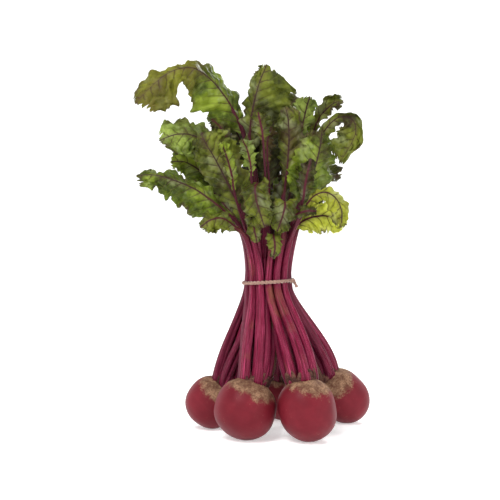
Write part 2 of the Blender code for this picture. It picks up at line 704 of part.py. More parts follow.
def make_stalk(name, path, radii, parts, cutter, material):
    """A stalk drawn along its path, with its foot trimmed flush over the crown."""
    data = bpy.data.curves.new("stalk_" + name, "CURVE")
    data.dimensions = "3D"
    spline = data.splines.new("POLY")
    spline.points.add(len(STALK_PICKS) - 1)
    for point, k in zip(spline.points, STALK_PICKS):
        point.co = (*(path[k] * M), 1.0)
        point.radius = radii[k]
    data.bevel_depth = M
    data.bevel_resolution = 2
    data.use_fill_caps = True
    data.materials.append(material)
    made = bpy.data.objects.new("stalk_" + name, data)
    parts.objects.link(made)
    made = apply_modifiers(made)
    weld(made.data)
    cut(made, cutter)
    made = apply_modifiers(made)
    made.data.shade_smooth()
    made.data.set_sharp_from_angle(angle=math.radians(50))
    return made


def twine_loop(stalks, radii):
    """The twine's line drawn tight round the bundle, a little higher at the right."""
    angles = 2 * math.pi * np.arange(TWINE_SEGMENTS) / TWINE_SEGMENTS
    ways = np.stack((np.cos(angles), np.sin(angles)), axis=1)
    far = np.zeros(TWINE_SEGMENTS)
    for name, path in stalks.items():
        for height in (TIE_HEIGHT - 4, TIE_HEIGHT, TIE_HEIGHT + 4):
            xy = np.array([np.interp(height, path[:, 2], path[:, i]) for i in (0, 1)])
            far = np.maximum(far, ways @ xy + np.interp(height, path[:, 2], radii[name]))
    far += TWINE_RADIUS + TWINE_GAP
    facing = np.maximum(ways @ ways.T, 0.05)
    reach = (far[None, :] / facing).min(axis=1)
    return [(r * x, r * y, TIE_HEIGHT + TIE_SLOPE * r * x) for r, (x, y) in zip(reach, ways)]


def twine_piece(name, points, closed, parts, material):
    data = bpy.data.curves.new(name, "CURVE")
    data.dimensions = "3D"
    spline = data.splines.new("POLY")
    spline.points.add(len(points) - 1)
    for point, p in zip(spline.points, points):
        point.co = (p[0] * M, p[1] * M, p[2] * M, 1.0)
    spline.use_cyclic_u = closed
    data.bevel_depth = TWINE_RADIUS * M
    data.bevel_resolution = 2
    data.use_fill_caps = not closed
    data.materials.append(material)
    made = bpy.data.objects.new(name, data)
    parts.objects.link(made)
    made = apply_modifiers(made)
    weld(made.data)
    return made


def make_twine(stalks, radii, parts, material):
    """The turn of twine, its knot at the right and the knot's two short ends, joined into one body."""
    loop = twine_loop(stalks, radii)
    ring = twine_piece("twine_tie", loop, True, parts, material)
    x, y, z = loop[KNOT_AT]
    knot = bmesh.new()
    bmesh.ops.create_uvsphere(knot, u_segments=10, v_segments=7, radius=KNOT_RADIUS * M)
    for v in knot.verts:
        v.co += Vector((x + 0.8, y - 0.6, z)) * M
    extras = [add_mesh("twine_knot", knot, parts, material)]
    for k, end in enumerate(KNOT_ENDS):
        line = [(x + 0.8 + end[0] * t, y - 0.6 + end[1] * t, z + end[2] * t * t) for t in (0, 0.5, 1)]
        extras.append(twine_piece("twine_end_%d" % k, line, False, parts, material))
    for extra in extras:
        join = ring.modifiers.new(extra.name, "BOOLEAN")
        join.operation = "UNION"
        join.object = extra
    ring = apply_modifiers(ring)
    for extra in extras:
        bpy.data.objects.remove(extra)
    ring.data.shade_smooth()
    return ring


def stalk_names():
    return {leaf["slot"]: name for name, leaf in LEAVES.items()}


def lay_out_stalks():
    owner = stalk_names()
    paths = {}
    for root in ROOTS:
        for slot, (foot, foot_way) in crown_places(root).items():
            name = owner[slot]
            rib = even_path([place(*p) for p in LEAVES[name]["rib"]], 40)
            way = unit(rib[1] - rib[0])
            paths[name] = stalk_path(foot, foot_way, slot, rib[0] - way * BASE_GAP, way)
    return spread_stalks(paths)


def centre_on_origin(parts):
    """Moves every part alike, so that the middle of the whole box is over the origin."""
    bpy.context.view_layer.update()
    graph = bpy.context.evaluated_depsgraph_get()
    corners = []
    for made in parts.objects:
        mesh = made.evaluated_get(graph).to_mesh()
        corners += [made.matrix_world @ v.co for v in mesh.vertices]
    middle = [(min(c[k] for c in corners) + max(c[k] for c in corners)) / 2 for k in (0, 1)]
    for made in parts.objects:
        made.location.x -= middle[0]
        made.location.y -= middle[1]


def make_ground(cutters):
    size = 400.0
    ground = block("ground", cutters, size)
    ground.location.z = -size / 2 * M
    return ground


def main():
    clear_scene()
    parts = new_collection("beetroot_bunch")
    cutters = new_collection("cutters")
    materials = {name: make_material(name) for name in COLOURS}
    ground = make_ground(cutters)
    for name in ROOTS:
        make_root(name, parts, ground, materials["root"])
    trims = {slot: crown_cutter(root, cutters) for root in ROOTS for slot in SLOTS[root]}
    stalks = lay_out_stalks()
    radii = {n: [stalk_radius(z, p[0, 2], p[-1, 2]) for z in p[:, 2]] for n, p in stalks.items()}
    blades = settle_blades(stalks, radii)
    for name, path in stalks.items():
        trim = trims[LEAVES[name]["slot"]]
        make_stalk(name, path, radii[name], parts, trim, materials["stalk"])
        make_blade(name, blades[name], parts, materials["leaf"])
    make_twine(stalks, radii, parts, materials["twine"])
    centre_on_origin(parts)


main()
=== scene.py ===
"""The looks of the bunch of beetroot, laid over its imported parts.

Lengths are in millimetres about the tie's axis, as in the part's own source. add_piece turns them into metres
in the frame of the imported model.
"""

import math

import bmesh
import bpy
import numpy as np
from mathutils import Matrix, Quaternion, Vector
from mathutils.bvhtree import BVHTree


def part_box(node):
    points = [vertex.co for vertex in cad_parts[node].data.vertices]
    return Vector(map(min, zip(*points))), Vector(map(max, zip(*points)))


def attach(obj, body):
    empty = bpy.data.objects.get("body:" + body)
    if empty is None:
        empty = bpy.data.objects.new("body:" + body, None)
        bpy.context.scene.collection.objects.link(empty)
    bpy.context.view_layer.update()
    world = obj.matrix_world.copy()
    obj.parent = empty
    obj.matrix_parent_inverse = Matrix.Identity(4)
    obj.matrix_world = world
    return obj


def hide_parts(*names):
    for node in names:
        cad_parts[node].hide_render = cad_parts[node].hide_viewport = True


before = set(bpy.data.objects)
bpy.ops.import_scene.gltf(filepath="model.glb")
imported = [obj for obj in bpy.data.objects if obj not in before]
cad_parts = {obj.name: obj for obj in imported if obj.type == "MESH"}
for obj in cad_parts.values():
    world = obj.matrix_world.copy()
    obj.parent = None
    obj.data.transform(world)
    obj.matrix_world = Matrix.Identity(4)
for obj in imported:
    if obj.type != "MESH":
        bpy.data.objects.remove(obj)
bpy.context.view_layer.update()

M = 0.001
TURN = 2 * math.pi

# The photograph's frame: 500 pixels wide, seen level from VIEW_DISTANCE in front of the tie's axis.
IMAGE_WIDTH = 500
MM_PER_PIXEL = 1.05
VIEW_DISTANCE = 900.0
EYE_PIXEL = (250.0, 250.0)
EYE_HEIGHT = 189.0
AXIS_PIXEL = 268.0

# The tie
TIE_HEIGHT = 156.0
TIE_SLOPE = 0.05
TWINE_RADIUS = 1.9
TWINE_GAP = 0.6
TWINE_SEGMENTS = 30
KNOT_AT = 28
KNOT_ENDS = ((5.0, -3.0, -6.5), (6.0, 2.0, 4.0))

# The leaf stalks: radius at the crown, 40 mm above it, in the tie and at the blade
STALK_RADII = (5.5, 5.17, 4.0, 2.6)
OUTER_RING = (15, 20.4)
INNER_RING = (8, 11.8)
CENTRE_OFFSET = 4.3
STALK_CLEARANCE = 0.8
CROWN_RADIUS = 16.0
CROWN_SPREAD = 10.2
CROWN_REACH = 5.0
# A stalk leaves its crown partly along the root's axis, partly upwards and partly outwards. The pulls say how
# long it keeps its direction at the crown, at the tie from below, and above the tie.
FOOT_WAY = (0.3, 0.7, 0.1)
LOWER_PULLS = (1.1, 0.65)
UPPER_PULL = 0.9
SPREAD_LEVELS = (40.0, 336.0, 6.0)
SPREAD_ROUNDS = 80
SPREAD_EASE = 14.0

# The leaf blades as the part has them
BASE_GAP = 0.6
BASE_HALF_WIDTH = 2.4
BASE_SHARE = 0.27
BASE_FLARE = 3.4
EDGE_ROUNDNESS = 0.5
LOBES = 4.3
LOBE_DEPTH = 0.1
RIPPLES = 2.6
PINCH_LENGTH = 0.09
TIP_START = 0.75
TIP_SWEEP = 0.35
BLADE_CLEARANCE = 3.0
ROWS = 12
COLUMNS = 7
GROWTH_STEPS = 36
SETTLE_STEPS = 40
LAST_STEPS = 6

# Each root: middle (x, y), radius across, half height, lean of its axis in degrees and the way it leans.
# The first four follow the photograph, and the fifth stands behind them.
FLAT_SPOT_DEPTH = 0.9
FULLNESS = 0.045
ROOTS = {
    "root_left": ((-60.0, 12.0), 27.6, 27.8, 40.0, (1.0, -0.1)),
    "root_front_left": ((-23.6, -42.0), 31.2, 31.0, 22.0, (0.8, 0.6)),
    "root_front_right": ((37.8, -50.0), 29.2, 32.2, 18.0, (-0.6, 0.8)),
    "root_right": ((82.0, 40.0), 27.0, 33.0, 45.0, (-1.0, -0.1)),
    "root_back": ((19.0, 60.0), 28.5, 28.5, 22.0, (-0.1, -1.0)),
}
ROOT_CIRCLE = ("root_front_right", "root_right", "root_back", "root_left", "root_front_left")

# The places in the tie of each root's five stalks: outer ring, inner ring or centre, with its number.
SLOTS = {
    "root_front_right": (("outer", 0), ("outer", 1), ("outer", 2), ("inner", 0), ("inner", 1)),
    "root_right": (("outer", 3), ("outer", 4), ("outer", 5), ("inner", 2), ("centre", 1)),
    "root_back": (("outer", 6), ("outer", 7), ("outer", 8), ("inner", 3), ("inner", 4)),
    "root_left": (("outer", 9), ("outer", 10), ("outer", 11), ("inner", 5), ("centre", 0)),
    "root_front_left": (("outer", 12), ("outer", 13), ("outer", 14), ("inner", 6), ("inner", 7)),
}

# How finely the visible surfaces are cut
LEAF_LONG, LEAF_WIDE = 78, 45
STALK_LONG, STALK_ROUND = 84, 28
THIN_STALKS, THIN_ROUND = 6, 16
ROOT_ROUND = 132
SCALES, SCALE_LONG, SCALE_WIDE = 40, 8, 7
PLY_ROUND = 10
STAGE_ROUND = 64

# The finer forms of the blades. Waves of the margin: how many along the blade, and how deep as a share of the
# half width. Swellings: length and height. Ruffles of the margin: how many along the blade, and height.
BLADE_HALF = 0.25
VEIN_SPACING = 10.5
VEIN_SLANT = 0.8
VEIN_HALF_WIDTH = 1.3
MARGIN_WAVES = ((4.7, 0.05), (8.9, 0.05), (15.0, 0.035), (27.0, 0.02))
MARGIN_TEARS = 3
SWELLINGS = ((23.0, 1.1), (14.0, 0.8), (9.0, 0.5), (6.0, 0.3))
BROAD_RUFFLES = (3.1, 2.2)
RUFFLES = ((5.5, 1.3), (9.5, 1.0), (14.5, 0.6))

# The twine: how far it is pressed into the bundle, and each ply's distance from its line and radius as shares
# of the twine's radius, with the length of one twist
TWINE_PRESS = 2.0
PLY_OFFSET, PLY_SIZE, PLY_PITCH = 0.47, 0.55, 8.5

# The cork round each crown: the way that its middle looks, and how many degrees it reaches from there
CORK = {
    "root_left": ((0.55, -0.35, 0.80), 58), "root_front_left": ((0.30, -0.12, 0.95), 52),
    "root_front_right": ((0.05, -0.06, 1.0), 47), "root_right": ((-0.65, -0.40, 0.75), 56),
    "root_back": ((0.0, -0.30, 0.90), 50),
}
OWN_CORK = 40
ROOT_DENTS = (1.6, 2.3, 3.1, 4.4, 6.2)

# Greens of the leaf blades, in linear colour: light, middle and dark, then the underside
GREENS = {
    "bright": ((0.245, 0.315, 0.028), (0.120, 0.178, 0.012), (0.040, 0.055, 0.005), (0.235, 0.255, 0.065)),
    "middle": ((0.180, 0.205, 0.022), (0.088, 0.110, 0.009), (0.030, 0.033, 0.004), (0.185, 0.190, 0.046)),
    "olive": ((0.185, 0.160, 0.018), (0.098, 0.084, 0.009), (0.042, 0.026, 0.006), (0.170, 0.146, 0.036)),
    # Painted shade: a much darker copy of the greens, for leaves deep inside the bunch.
    "dark": ((0.080, 0.088, 0.012), (0.036, 0.040, 0.006), (0.017, 0.012, 0.004), (0.115, 0.115, 0.034)),
    "pale": ((0.300, 0.380, 0.070), (0.190, 0.260, 0.036), (0.075, 0.105, 0.014), (0.275, 0.315, 0.110)),
    "lime": ((0.380, 0.400, 0.034), (0.230, 0.255, 0.018), (0.085, 0.085, 0.008), (0.300, 0.320, 0.050)),
    # Painted backlight: far brighter greens than a leaf has, standing in for light shining through it from
    # behind.
    "lit": ((0.860, 0.880, 0.220), (0.780, 0.820, 0.160), (0.560, 0.590, 0.090), (0.780, 0.820, 0.180)),
}
GREENS["turning"] = GREENS["bright"]

# The other colours of the leaves, then those of the stalks, roots, scales and twine
LEAF_TINTS = {
    # The first tint is a painted highlight: pale grey-green glints on the waxy blades, painted as colour.
    # The third tint, dark brown, is partly the blades' own brown tinge and partly painted shade.
    "painted_highlight": (0.56, 0.60, 0.42), "edge": (0.060, 0.026, 0.020), "tinge_and_painted_shade": (0.062, 0.036, 0.014),
    "vein": (0.060, 0.025, 0.022), "blush": (0.075, 0.022, 0.022), "rib": (0.100, 0.012, 0.024),
    "rib_end": (0.042, 0.018, 0.015), "aged": (0.070, 0.060, 0.007), "aged_light": (0.290, 0.235, 0.024),
}
STALK_TINTS = {
    # The third stalk tint is a painted highlight: pale pink lines standing in for glints along the glossy
    # stalks.
    "deep": (0.050, 0.0010, 0.008), "red": (0.160, 0.0020, 0.025), "streak_and_painted_highlight": (0.580, 0.080, 0.185),
    # The first tint on the next line is painted shade: dark lines standing in for the shade in the stalks'
    # grooves.
    "painted_groove_shade": (0.045, 0.004, 0.012), "dull": (0.050, 0.002, 0.012), "upper": (0.056, 0.012, 0.018),
    "warm": (0.185, 0.090, 0.030), "dry": (0.050, 0.018, 0.014), "dry_light": (0.140, 0.062, 0.036),
}
ROOT_TINTS = {
    "deep": (0.128, 0.0068, 0.0138), "red": (0.162, 0.0115, 0.0205), "ring": (0.210, 0.028, 0.036),
    "dull": (0.085, 0.006, 0.012), "speck": (0.380, 0.150, 0.110), "cork": (0.130, 0.062, 0.036),
    "cork_light": (0.330, 0.190, 0.112), "pit": (0.080, 0.034, 0.022), "loop": (0.120, 0.055, 0.035),
}
SCALE_TINTS = ((0.034, 0.012, 0.011), (0.120, 0.052, 0.038), (0.210, 0.115, 0.078))
TWINE_TINTS = ((0.210, 0.105, 0.080), (0.450, 0.270, 0.205), (0.580, 0.400, 0.310))

# The studio: each light's place and the height it is aimed at, its size in m and its power in W
LIGHTS = {
    "key": ((-0.7, -1.2, 1.9), 0.18, 0.9, 40), "fill": ((1.6, -1.2, 0.8), 0.18, 1.0, 5),
    "back": ((0.7, 1.4, 1.4), 0.24, 0.7, 26),
}
WORLD_STRENGTH = 0.22
BACKDROP_GLOW = 0.42
WHITE = (1.0, 1.0, 1.0)
SENSOR_WIDTH = 36.0


def leaf(
    look, slot, rib, face, wide, wave, peak=(0.5, 0.5), tip=0.4, fold=(0, 0), curl=(-10, -10), pinch=None
):
    """One leaf: its look; its place in the tie; its rib from base to tip, as (pixel across, pixel down,
    mm behind the axis); the way its upper face looks at the base and at the tip; its half widths left and
    right in mm; the wave of its margin in mm; how far along each half width is reached; how blunt its tip
    is; fold and curl of each half in degrees towards its face; where it is pinched, and how much.
    """
    return dict(
        look=look, slot=slot, rib=rib, face=face, wide=wide, wave=wave, peak=peak, tip=tip, fold=fold,
        curl=curl, pinch=pinch,
    )


# The leaves of the part
LEAVES = {
    "top_left": leaf(
        "turning", ("inner", 5), ((244, 134, 6), (232, 108, 0), (213, 82, -8), (192, 68, -16),
        (169, 73, -22), (150, 88, -24), (135, 104, -22)), ((0.2, -0.9, 0.4), (0, -0.9, 0.4)), (36, 28), 3.5,
        peak=(0.4, 0.5), tip=0.68, fold=(-8, -22), curl=(-20, -30), pinch=(0.65, 0.55),
    ),
    "oval_left": leaf(
        "pale", ("outer", 11), ((236, 180, 2), (222, 159, -4), (206, 143, -12), (190, 135, -18),
        (174, 135, -21), (159, 141, -21)), ((-0.3, -0.8, 0.6), (-0.1, -0.95, 0.3)), (24, 21), 2,
        peak=(0.74, 0.74), tip=0.5, fold=(5, 5), curl=(-15, -15),
    ),
    "long_left": leaf(
        "middle", ("inner", 6), ((247, 222, -8), (237, 202, -13), (226, 180, -19), (214, 158, -25),
        (204, 142, -27), (200, 132, -25)), ((-0.2, -0.95, 0.1), (0.1, -0.9, 0.5)), (24, 31), 4,
        peak=(0.5, 0.55), tip=0.6, fold=(-24, 14), curl=(-25, 35),
    ),
    "middle_left": leaf(
        "bright", ("outer", 10), ((229, 202, 10), (214, 184, 9), (199, 170, 8), (184, 162, 8),
        (170, 162, 9)), ((-0.4, -0.7, 0.6), (-0.2, -0.9, 0.4)), (21, 25), 3.5, peak=(0.55, 0.6), tip=0.5,
        fold=(15, 10), curl=(15, 20),
    ),
    "low_left": leaf(
        "bright", ("outer", 12), ((233, 219, -20), (217, 205, -31), (196, 190, -38), (173, 180, -41),
        (153, 175, -39), (136, 176, -35)), ((-0.2, -0.85, 0.5), (-0.2, -0.9, 0.4)), (25, 20), 4,
        peak=(0.38, 0.45), tip=0.5, fold=(-10, -30), curl=(-25, -30), pinch=(0.85, 0.3),
    ),
    "hanging_left": leaf(
        "middle", ("outer", 13), ((240, 231, -25), (229, 222, -36), (219, 218, -44), (209, 221, -49),
        (200, 228, -50)), ((-0.2, -0.8, 0.6), (-0.1, -0.95, 0.3)), (15, 13), 2.4, peak=(0.6, 0.6), tip=0.5,
        fold=(-10, -20), curl=(-10, -20),
    ),
    "top_centre": leaf(
        "middle", ("centre", 0), ((252, 160, -2), (250, 134, -8), (253, 108, -15), (259, 84, -21),
        (267, 64, -26)), ((0.1, -0.95, 0.2), (0.2, -0.9, 0.2)), (12, 42), 1.5, peak=(0.6, 0.72), tip=0.58,
        fold=(-30, 0), curl=(-20, -8),
    ),
    "upright_centre": leaf(
        "dark", ("centre", 1), ((267, 190, 12), (268, 160, 14), (269, 132, 15), (267, 110, 14),
        (264, 94, 12)), ((0.1, -0.95, 0.1), (0.1, -0.9, 0.3)), (24, 24), 3.5,
    ),
    "upright_right": leaf(
        "middle", ("inner", 0), ((283, 200, -14), (287, 170, -18), (289, 140, -20), (288, 118, -24),
        (285, 106, -28)), ((0.3, -0.9, 0.1), (0.2, -0.9, 0.3)), (13, 17), 3, peak=(0.7, 0.6), tip=0.5,
        fold=(-20, 15), curl=(-20, 20),
    ),
    "pale_right": leaf(
        "pale", ("inner", 2), ((292, 164, 18), (298, 142, 15), (303, 122, 10), (307, 106, 4), (310, 96, 0)),
        ((0.2, -0.95, 0.2), (0.2, -0.95, 0.2)), (21, 13), 3, peak=(0.66, 0.7), fold=(5, -10),
        curl=(-15, -20),
    ),
    "narrow_right": leaf(
        "middle", ("outer", 5), ((305, 156, 28), (312, 135, 22), (320, 117, 16), (329, 107, 10),
        (337, 102, 6), (344, 102, 4)), ((-0.2, -0.95, 0.3), (-0.2, -0.95, 0.3)), (11, 10), 1.5,
        peak=(0.78, 0.78), tip=0.6, fold=(20, 20), curl=(20, 20), pinch=(0.5, 0.4),
    ),
    "loop_right": leaf(
        "middle", ("outer", 4), ((309, 182, 10), (316, 154, 4), (325, 130, -4), (340, 117, -10),
        (354, 121, -13), (355, 135, -13), (347, 150, -11), (338, 164, -9)), ((-0.2, -0.95, 0.3),
        (0.2, -0.95, 0.1)), (10, 21), 1.5, peak=(0.72, 0.8), tip=0.5, fold=(20, -5), curl=(10, -15),
        pinch=(0.56, 0.4),
    ),
    "broad_right": leaf(
        "bright", ("outer", 3), ((298, 208, -12), (307, 188, -20), (315, 167, -25), (320, 147, -26),
        (322, 130, -22)), ((0.2, -0.95, 0.2), (0.2, -0.95, 0.2)), (27, 28), 4, peak=(0.48, 0.5), tip=0.45,
        fold=(16, -18), curl=(-30, -35),
    ),
    "low_right": leaf(
        "lime", ("outer", 2), ((296, 224, -20), (305, 207, -30), (316, 195, -37), (329, 193, -40),
        (338, 202, -39), (342, 215, -36), (340, 228, -32)), ((0.1, -0.9, 0.5), (0.1, -0.95, 0.1)), (11, 14),
        2, peak=(0.72, 0.72), fold=(-20, 10), curl=(-20, -20), pinch=(0.5, 0.25),
    ),
    # This leaf wears the painted backlight greens.
    "lit_right": leaf(
        "lit", ("inner", 1), ((293, 229, 4), (305, 220, -1), (320, 216, -5), (335, 218, -8),
        (347, 225, -8)), ((0, -0.95, 0.3), (0.1, -0.95, 0.3)), (16, 20), 1.5, peak=(0.5, 0.55), tip=0.45,
        curl=(-10, -15),
    ),
    "front_centre": leaf(
        "middle", ("inner", 7), ((262, 190, -28), (258, 183, -39), (255, 189, -50), (257, 203, -54),
        (261, 216, -53), (265, 228, -49)), ((0, -0.5, 0.9), (0, -1, 0)), (16, 16), 3, fold=(12, -4),
        curl=(10, -20),
    ),
    "front_right": leaf(
        "middle", ("outer", 1), ((286, 210, -24), (285, 202, -35), (285, 206, -43), (283, 215, -46),
        (280, 224, -45), (277, 232, -42)), ((0, -0.5, 0.9), (0, -1, 0)), (14, 13), 2, fold=(15, 5),
        curl=(15, 10),
    ),
    "hanging_centre": leaf(
        "middle", ("outer", 0), ((272, 241, -24), (273, 234, -33), (274, 238, -40), (275, 248, -42),
        (273, 259, -40)), ((0, -0.5, 0.9), (0, -1, 0)), (8, 8), 1.2, tip=0.2, fold=(10, -10), curl=(15, -15),
    ),
    "grey_left": leaf(
        "middle", ("outer", 14), ((251, 226, -26), (251, 219, -35), (253, 223, -42), (255, 233, -44),
        (257, 243, -42)), ((0, -0.5, 0.9), (0, -1, 0)), (8, 8), 1.2, tip=0.3, fold=(10, 10), curl=(10, 15),
    ),
    "back_right_low": leaf(
        "middle", ("outer", 6), ((301, 200, 38), (312, 177, 54), (321, 166, 70), (328, 168, 85),
        (332, 182, 96)), ((-0.4, -0.4, 0.8), (0.4, 0.5, 0.8)), (26, 26), 4.5, tip=0.25, fold=(-8, -8),
        curl=(-20, -20),
    ),
    "back_right_high": leaf(
        "bright", ("outer", 7), ((287, 172, 32), (292, 144, 44), (298, 124, 58), (303, 120, 74),
        (306, 131, 90)), ((-0.2, -0.8, 0.5), (0.2, 0.5, 0.8)), (26, 26), 4.5, tip=0.25, fold=(-5, -8),
        curl=(-20, -20),
    ),
    "back_low": leaf(
        "bright", ("outer", 8), ((268, 208, 36), (265, 189, 46), (263, 174, 62), (262, 170, 80),
        (262, 181, 96)), ((0, -0.5, 0.8), (0, 0.6, 0.8)), (24, 25), 4.5, tip=0.25, fold=(-8, -8),
        curl=(-20, -15),
    ),
    "back_left_low": leaf(
        "middle", ("outer", 9), ((246, 202, 32), (233, 182, 47), (221, 171, 62), (210, 174, 76),
        (204, 187, 86)), ((0.3, -0.4, 0.8), (-0.4, 0.5, 0.8)), (24, 22), 4.5, tip=0.25, fold=(-8, -8),
        curl=(-20, -20),
    ),
    "back_high": leaf(
        "dark", ("inner", 3), ((272, 166, 28), (276, 138, 34), (280, 112, 40), (283, 96, 50),
        (284, 92, 64)), ((0, -0.9, 0.3), (0, -0.1, 0.9)), (25, 26), 4, tip=0.25, fold=(-8, -5),
        curl=(-15, -20),
    ),
    "back_left_high": leaf(
        "bright", ("inner", 4), ((252, 170, 22), (241, 142, 33), (231, 122, 44), (222, 113, 58),
        (214, 118, 72)), ((0.2, -0.8, 0.5), (-0.3, 0.4, 0.8)), (26, 26), 4.5, tip=0.25, fold=(-5, -8),
        curl=(-20, -20),
    ),
}
# Young leaves in the middle of the bunch, described as the leaves of the part are
YOUNG_LEAVES = {
    "inner_left": leaf(
        "middle", None, ((231, 150, -4), (225, 137, -6), (219, 126, -8), (211, 119, -8)),
        ((-0.1, -0.95, 0.3), (0, -0.8, 0.6)), (10, 12), 2, fold=(10, -15), curl=(10, -20),
    ),
    "pale_fold": leaf(
        "pale", None, ((251, 176, -44), (250, 163, -46), (247, 150, -46), (242, 139, -44)),
        ((0.2, -0.95, 0.2), (0.3, -0.9, 0.3)), (8, 10), 1.5, peak=(0.6, 0.6), tip=0.5, fold=(20, -5),
        curl=(20, -30),
    ),
    "upright": leaf(
        "olive", None, ((268, 166, -16), (267, 152, -19), (268, 138, -21), (271, 126, -20)),
        ((0.1, -0.95, 0.1), (0.2, -0.9, 0.3)), (9, 8), 2, peak=(0.5, 0.6), fold=(20, -20), curl=(20, -25),
    ),
    "square": leaf(
        "middle", None, ((263, 140, -30), (262, 131, -33), (260, 121, -34), (258, 112, -32)),
        ((0, -0.95, 0.2), (0.1, -0.9, 0.3)), (10, 12), 2, tip=0.6, fold=(10, -10), curl=(-20, -20),
    ),
    "narrow": leaf(
        "bright", None, ((234, 190, -34), (231, 172, -38), (226, 155, -40), (221, 142, -38)),
        ((-0.3, -0.9, 0.2), (-0.1, -0.95, 0.3)), (6, 8), 1.5, tip=0.3, fold=(30, -10), curl=(25, -20),
    ),
    "right_dark": leaf(
        "dark", None, ((303, 200, -34), (305, 186, -39), (308, 171, -40), (311, 158, -37)),
        ((0.3, -0.9, 0.1), (0.3, -0.9, 0.3)), (9, 9), 2, tip=0.3, fold=(-25, 20), curl=(-20, 10),
    ),
    # The inner leaves here wear the dark greens, painted shade deep inside the bunch.
    "inner_a": leaf(
        "dark", None, ((262, 236, 8), (258, 212, 12), (253, 186, 14), (248, 162, 14)), ((0, -0.95, 0.2),
        (0, -0.95, 0.3)), (22, 22), 3, tip=0.5,
    ),
    "inner_b": leaf(
        "dark", None, ((281, 236, 8), (286, 212, 10), (291, 188, 12), (294, 166, 12)), ((0, -0.95, 0.2),
        (0, -0.95, 0.3)), (19, 20), 3, tip=0.5,
    ),
    "inner_c": leaf(
        "dark", None, ((246, 234, -6), (234, 217, -8), (222, 202, -8), (212, 190, -8)), ((-0.1, -0.95, 0.2),
        (-0.1, -0.95, 0.3)), (13, 16), 2.5,
    ),
    "inner_d": leaf(
        "dark", None, ((236, 206, 4), (226, 190, 4), (216, 176, 4), (206, 166, 4)), ((-0.1, -0.95, 0.2),
        (-0.1, -0.95, 0.3)), (13, 14), 2.5,
    ),
    "inner_e": leaf(
        "dark", None, ((300, 226, 8), (308, 206, 12), (316, 186, 14), (321, 168, 14)), ((0.2, -0.95, 0.2),
        (0.2, -0.95, 0.3)), (14, 15), 2.5,
    ),
    "right_low": leaf(
        "middle", None, ((287, 219, -30), (297, 214, -34), (307, 211, -36), (317, 211, -36)),
        ((0, -0.9, 0.5), (0.1, -0.9, 0.4)), (7, 6), 2, tip=0.3, fold=(10, -20), curl=(10, -20),
    ),
}


def unit(v):
    return v / max(np.linalg.norm(v), 1e-9)


def place(across, down, back):
    """A point in mm from its pixel in the photograph and its depth behind the tie's axis."""
    scale = MM_PER_PIXEL * (VIEW_DISTANCE + back) / VIEW_DISTANCE
    x = (across - EYE_PIXEL[0]) * scale - (AXIS_PIXEL - EYE_PIXEL[0]) * MM_PER_PIXEL
    z = EYE_HEIGHT - (down - EYE_PIXEL[1]) * scale
    return np.array((x, back, z))


def cubic(values, count):
    """A smooth resampling of rows of values to count rows."""
    padded = np.concatenate((2 * values[:1] - values[1:2], values, 2 * values[-1:] - values[-2:-1]))
    at = np.linspace(0, len(values) - 1, count)
    i = np.minimum(at.astype(int), len(values) - 2)
    s = (at - i).reshape((-1,) + (1,) * (values.ndim - 1))
    a, b, c, d = (padded[i + k] for k in range(4))
    return 0.5 * (2 * b + (c - a) * s + (2 * a - 5 * b + 4 * c - d) * s**2 + (3 * b - a - 3 * c + d) * s**3)


def run_along(line):
    """How far along a line each of its points is."""
    return np.concatenate(((0,), np.cumsum(np.linalg.norm(np.diff(line, axis=0), axis=1))))


def even_path(points, count):
    """A curve through the points, read at even steps of its length."""
    fine = cubic(np.array(points, float), 200)
    run = run_along(fine)
    steps = np.linspace(0, run[-1], count)
    return np.stack([np.interp(steps, run, fine[:, k]) for k in range(3)], axis=1)


def root_profile(radius, half_height):
    """The root's outline from its flat crown down to the foot of its axis, as (distance out, height)."""
    top = math.asin(CROWN_RADIUS / radius)
    points = [(0.0, half_height * math.cos(top))]
    for k in range(10):
        angle = top + (math.pi - top) * k / 9
        fullness = 1.0 + FULLNESS * math.sin(2 * angle) ** 2
        points.append((radius * fullness * math.sin(angle), half_height * math.cos(angle)))
    points[-1] = (0.0, -half_height)
    return points


def root_lean(name):
    """The turn that leans a root's axis the way it leans in the bunch."""
    _, _, _, lean, towards = ROOTS[name]
    way = Vector((towards[0], towards[1], 0)).normalized()
    return Quaternion(Vector((0, 0, 1)).cross(way), math.radians(lean))


def root_middle(name):
    """The middle of a root, as high as its lowest point and its flat spot ask."""
    (x, y), radius, half_height, lean, _ = ROOTS[name]
    lean = math.radians(lean)
    outline = root_profile(radius, half_height)
    drop = max(out * math.sin(lean) - height * math.cos(lean) for out, height in outline)
    return Vector((x, y, drop - FLAT_SPOT_DEPTH))


def crown_middle(name):
    """The middle of a root's flat crown, and the way that the crown looks."""
    profile = root_profile(*ROOTS[name][1:3])
    way = root_lean(name) @ Vector((0, 0, 1))
    return root_middle(name) + way * profile[0][1], way


def tie_place(slot):
    """The place of a stalk in the tie, as (x, y)."""
    ring, number = slot
    if ring == "centre":
        return np.array((CENTRE_OFFSET * (2 * number - 1), 0.0))
    count, radius = OUTER_RING if ring == "outer" else INNER_RING
    start = -90.0 if ring == "outer" else -67.5
    angle = math.radians(start + 360.0 * number / count)
    return radius * np.array((math.cos(angle), math.sin(angle)))


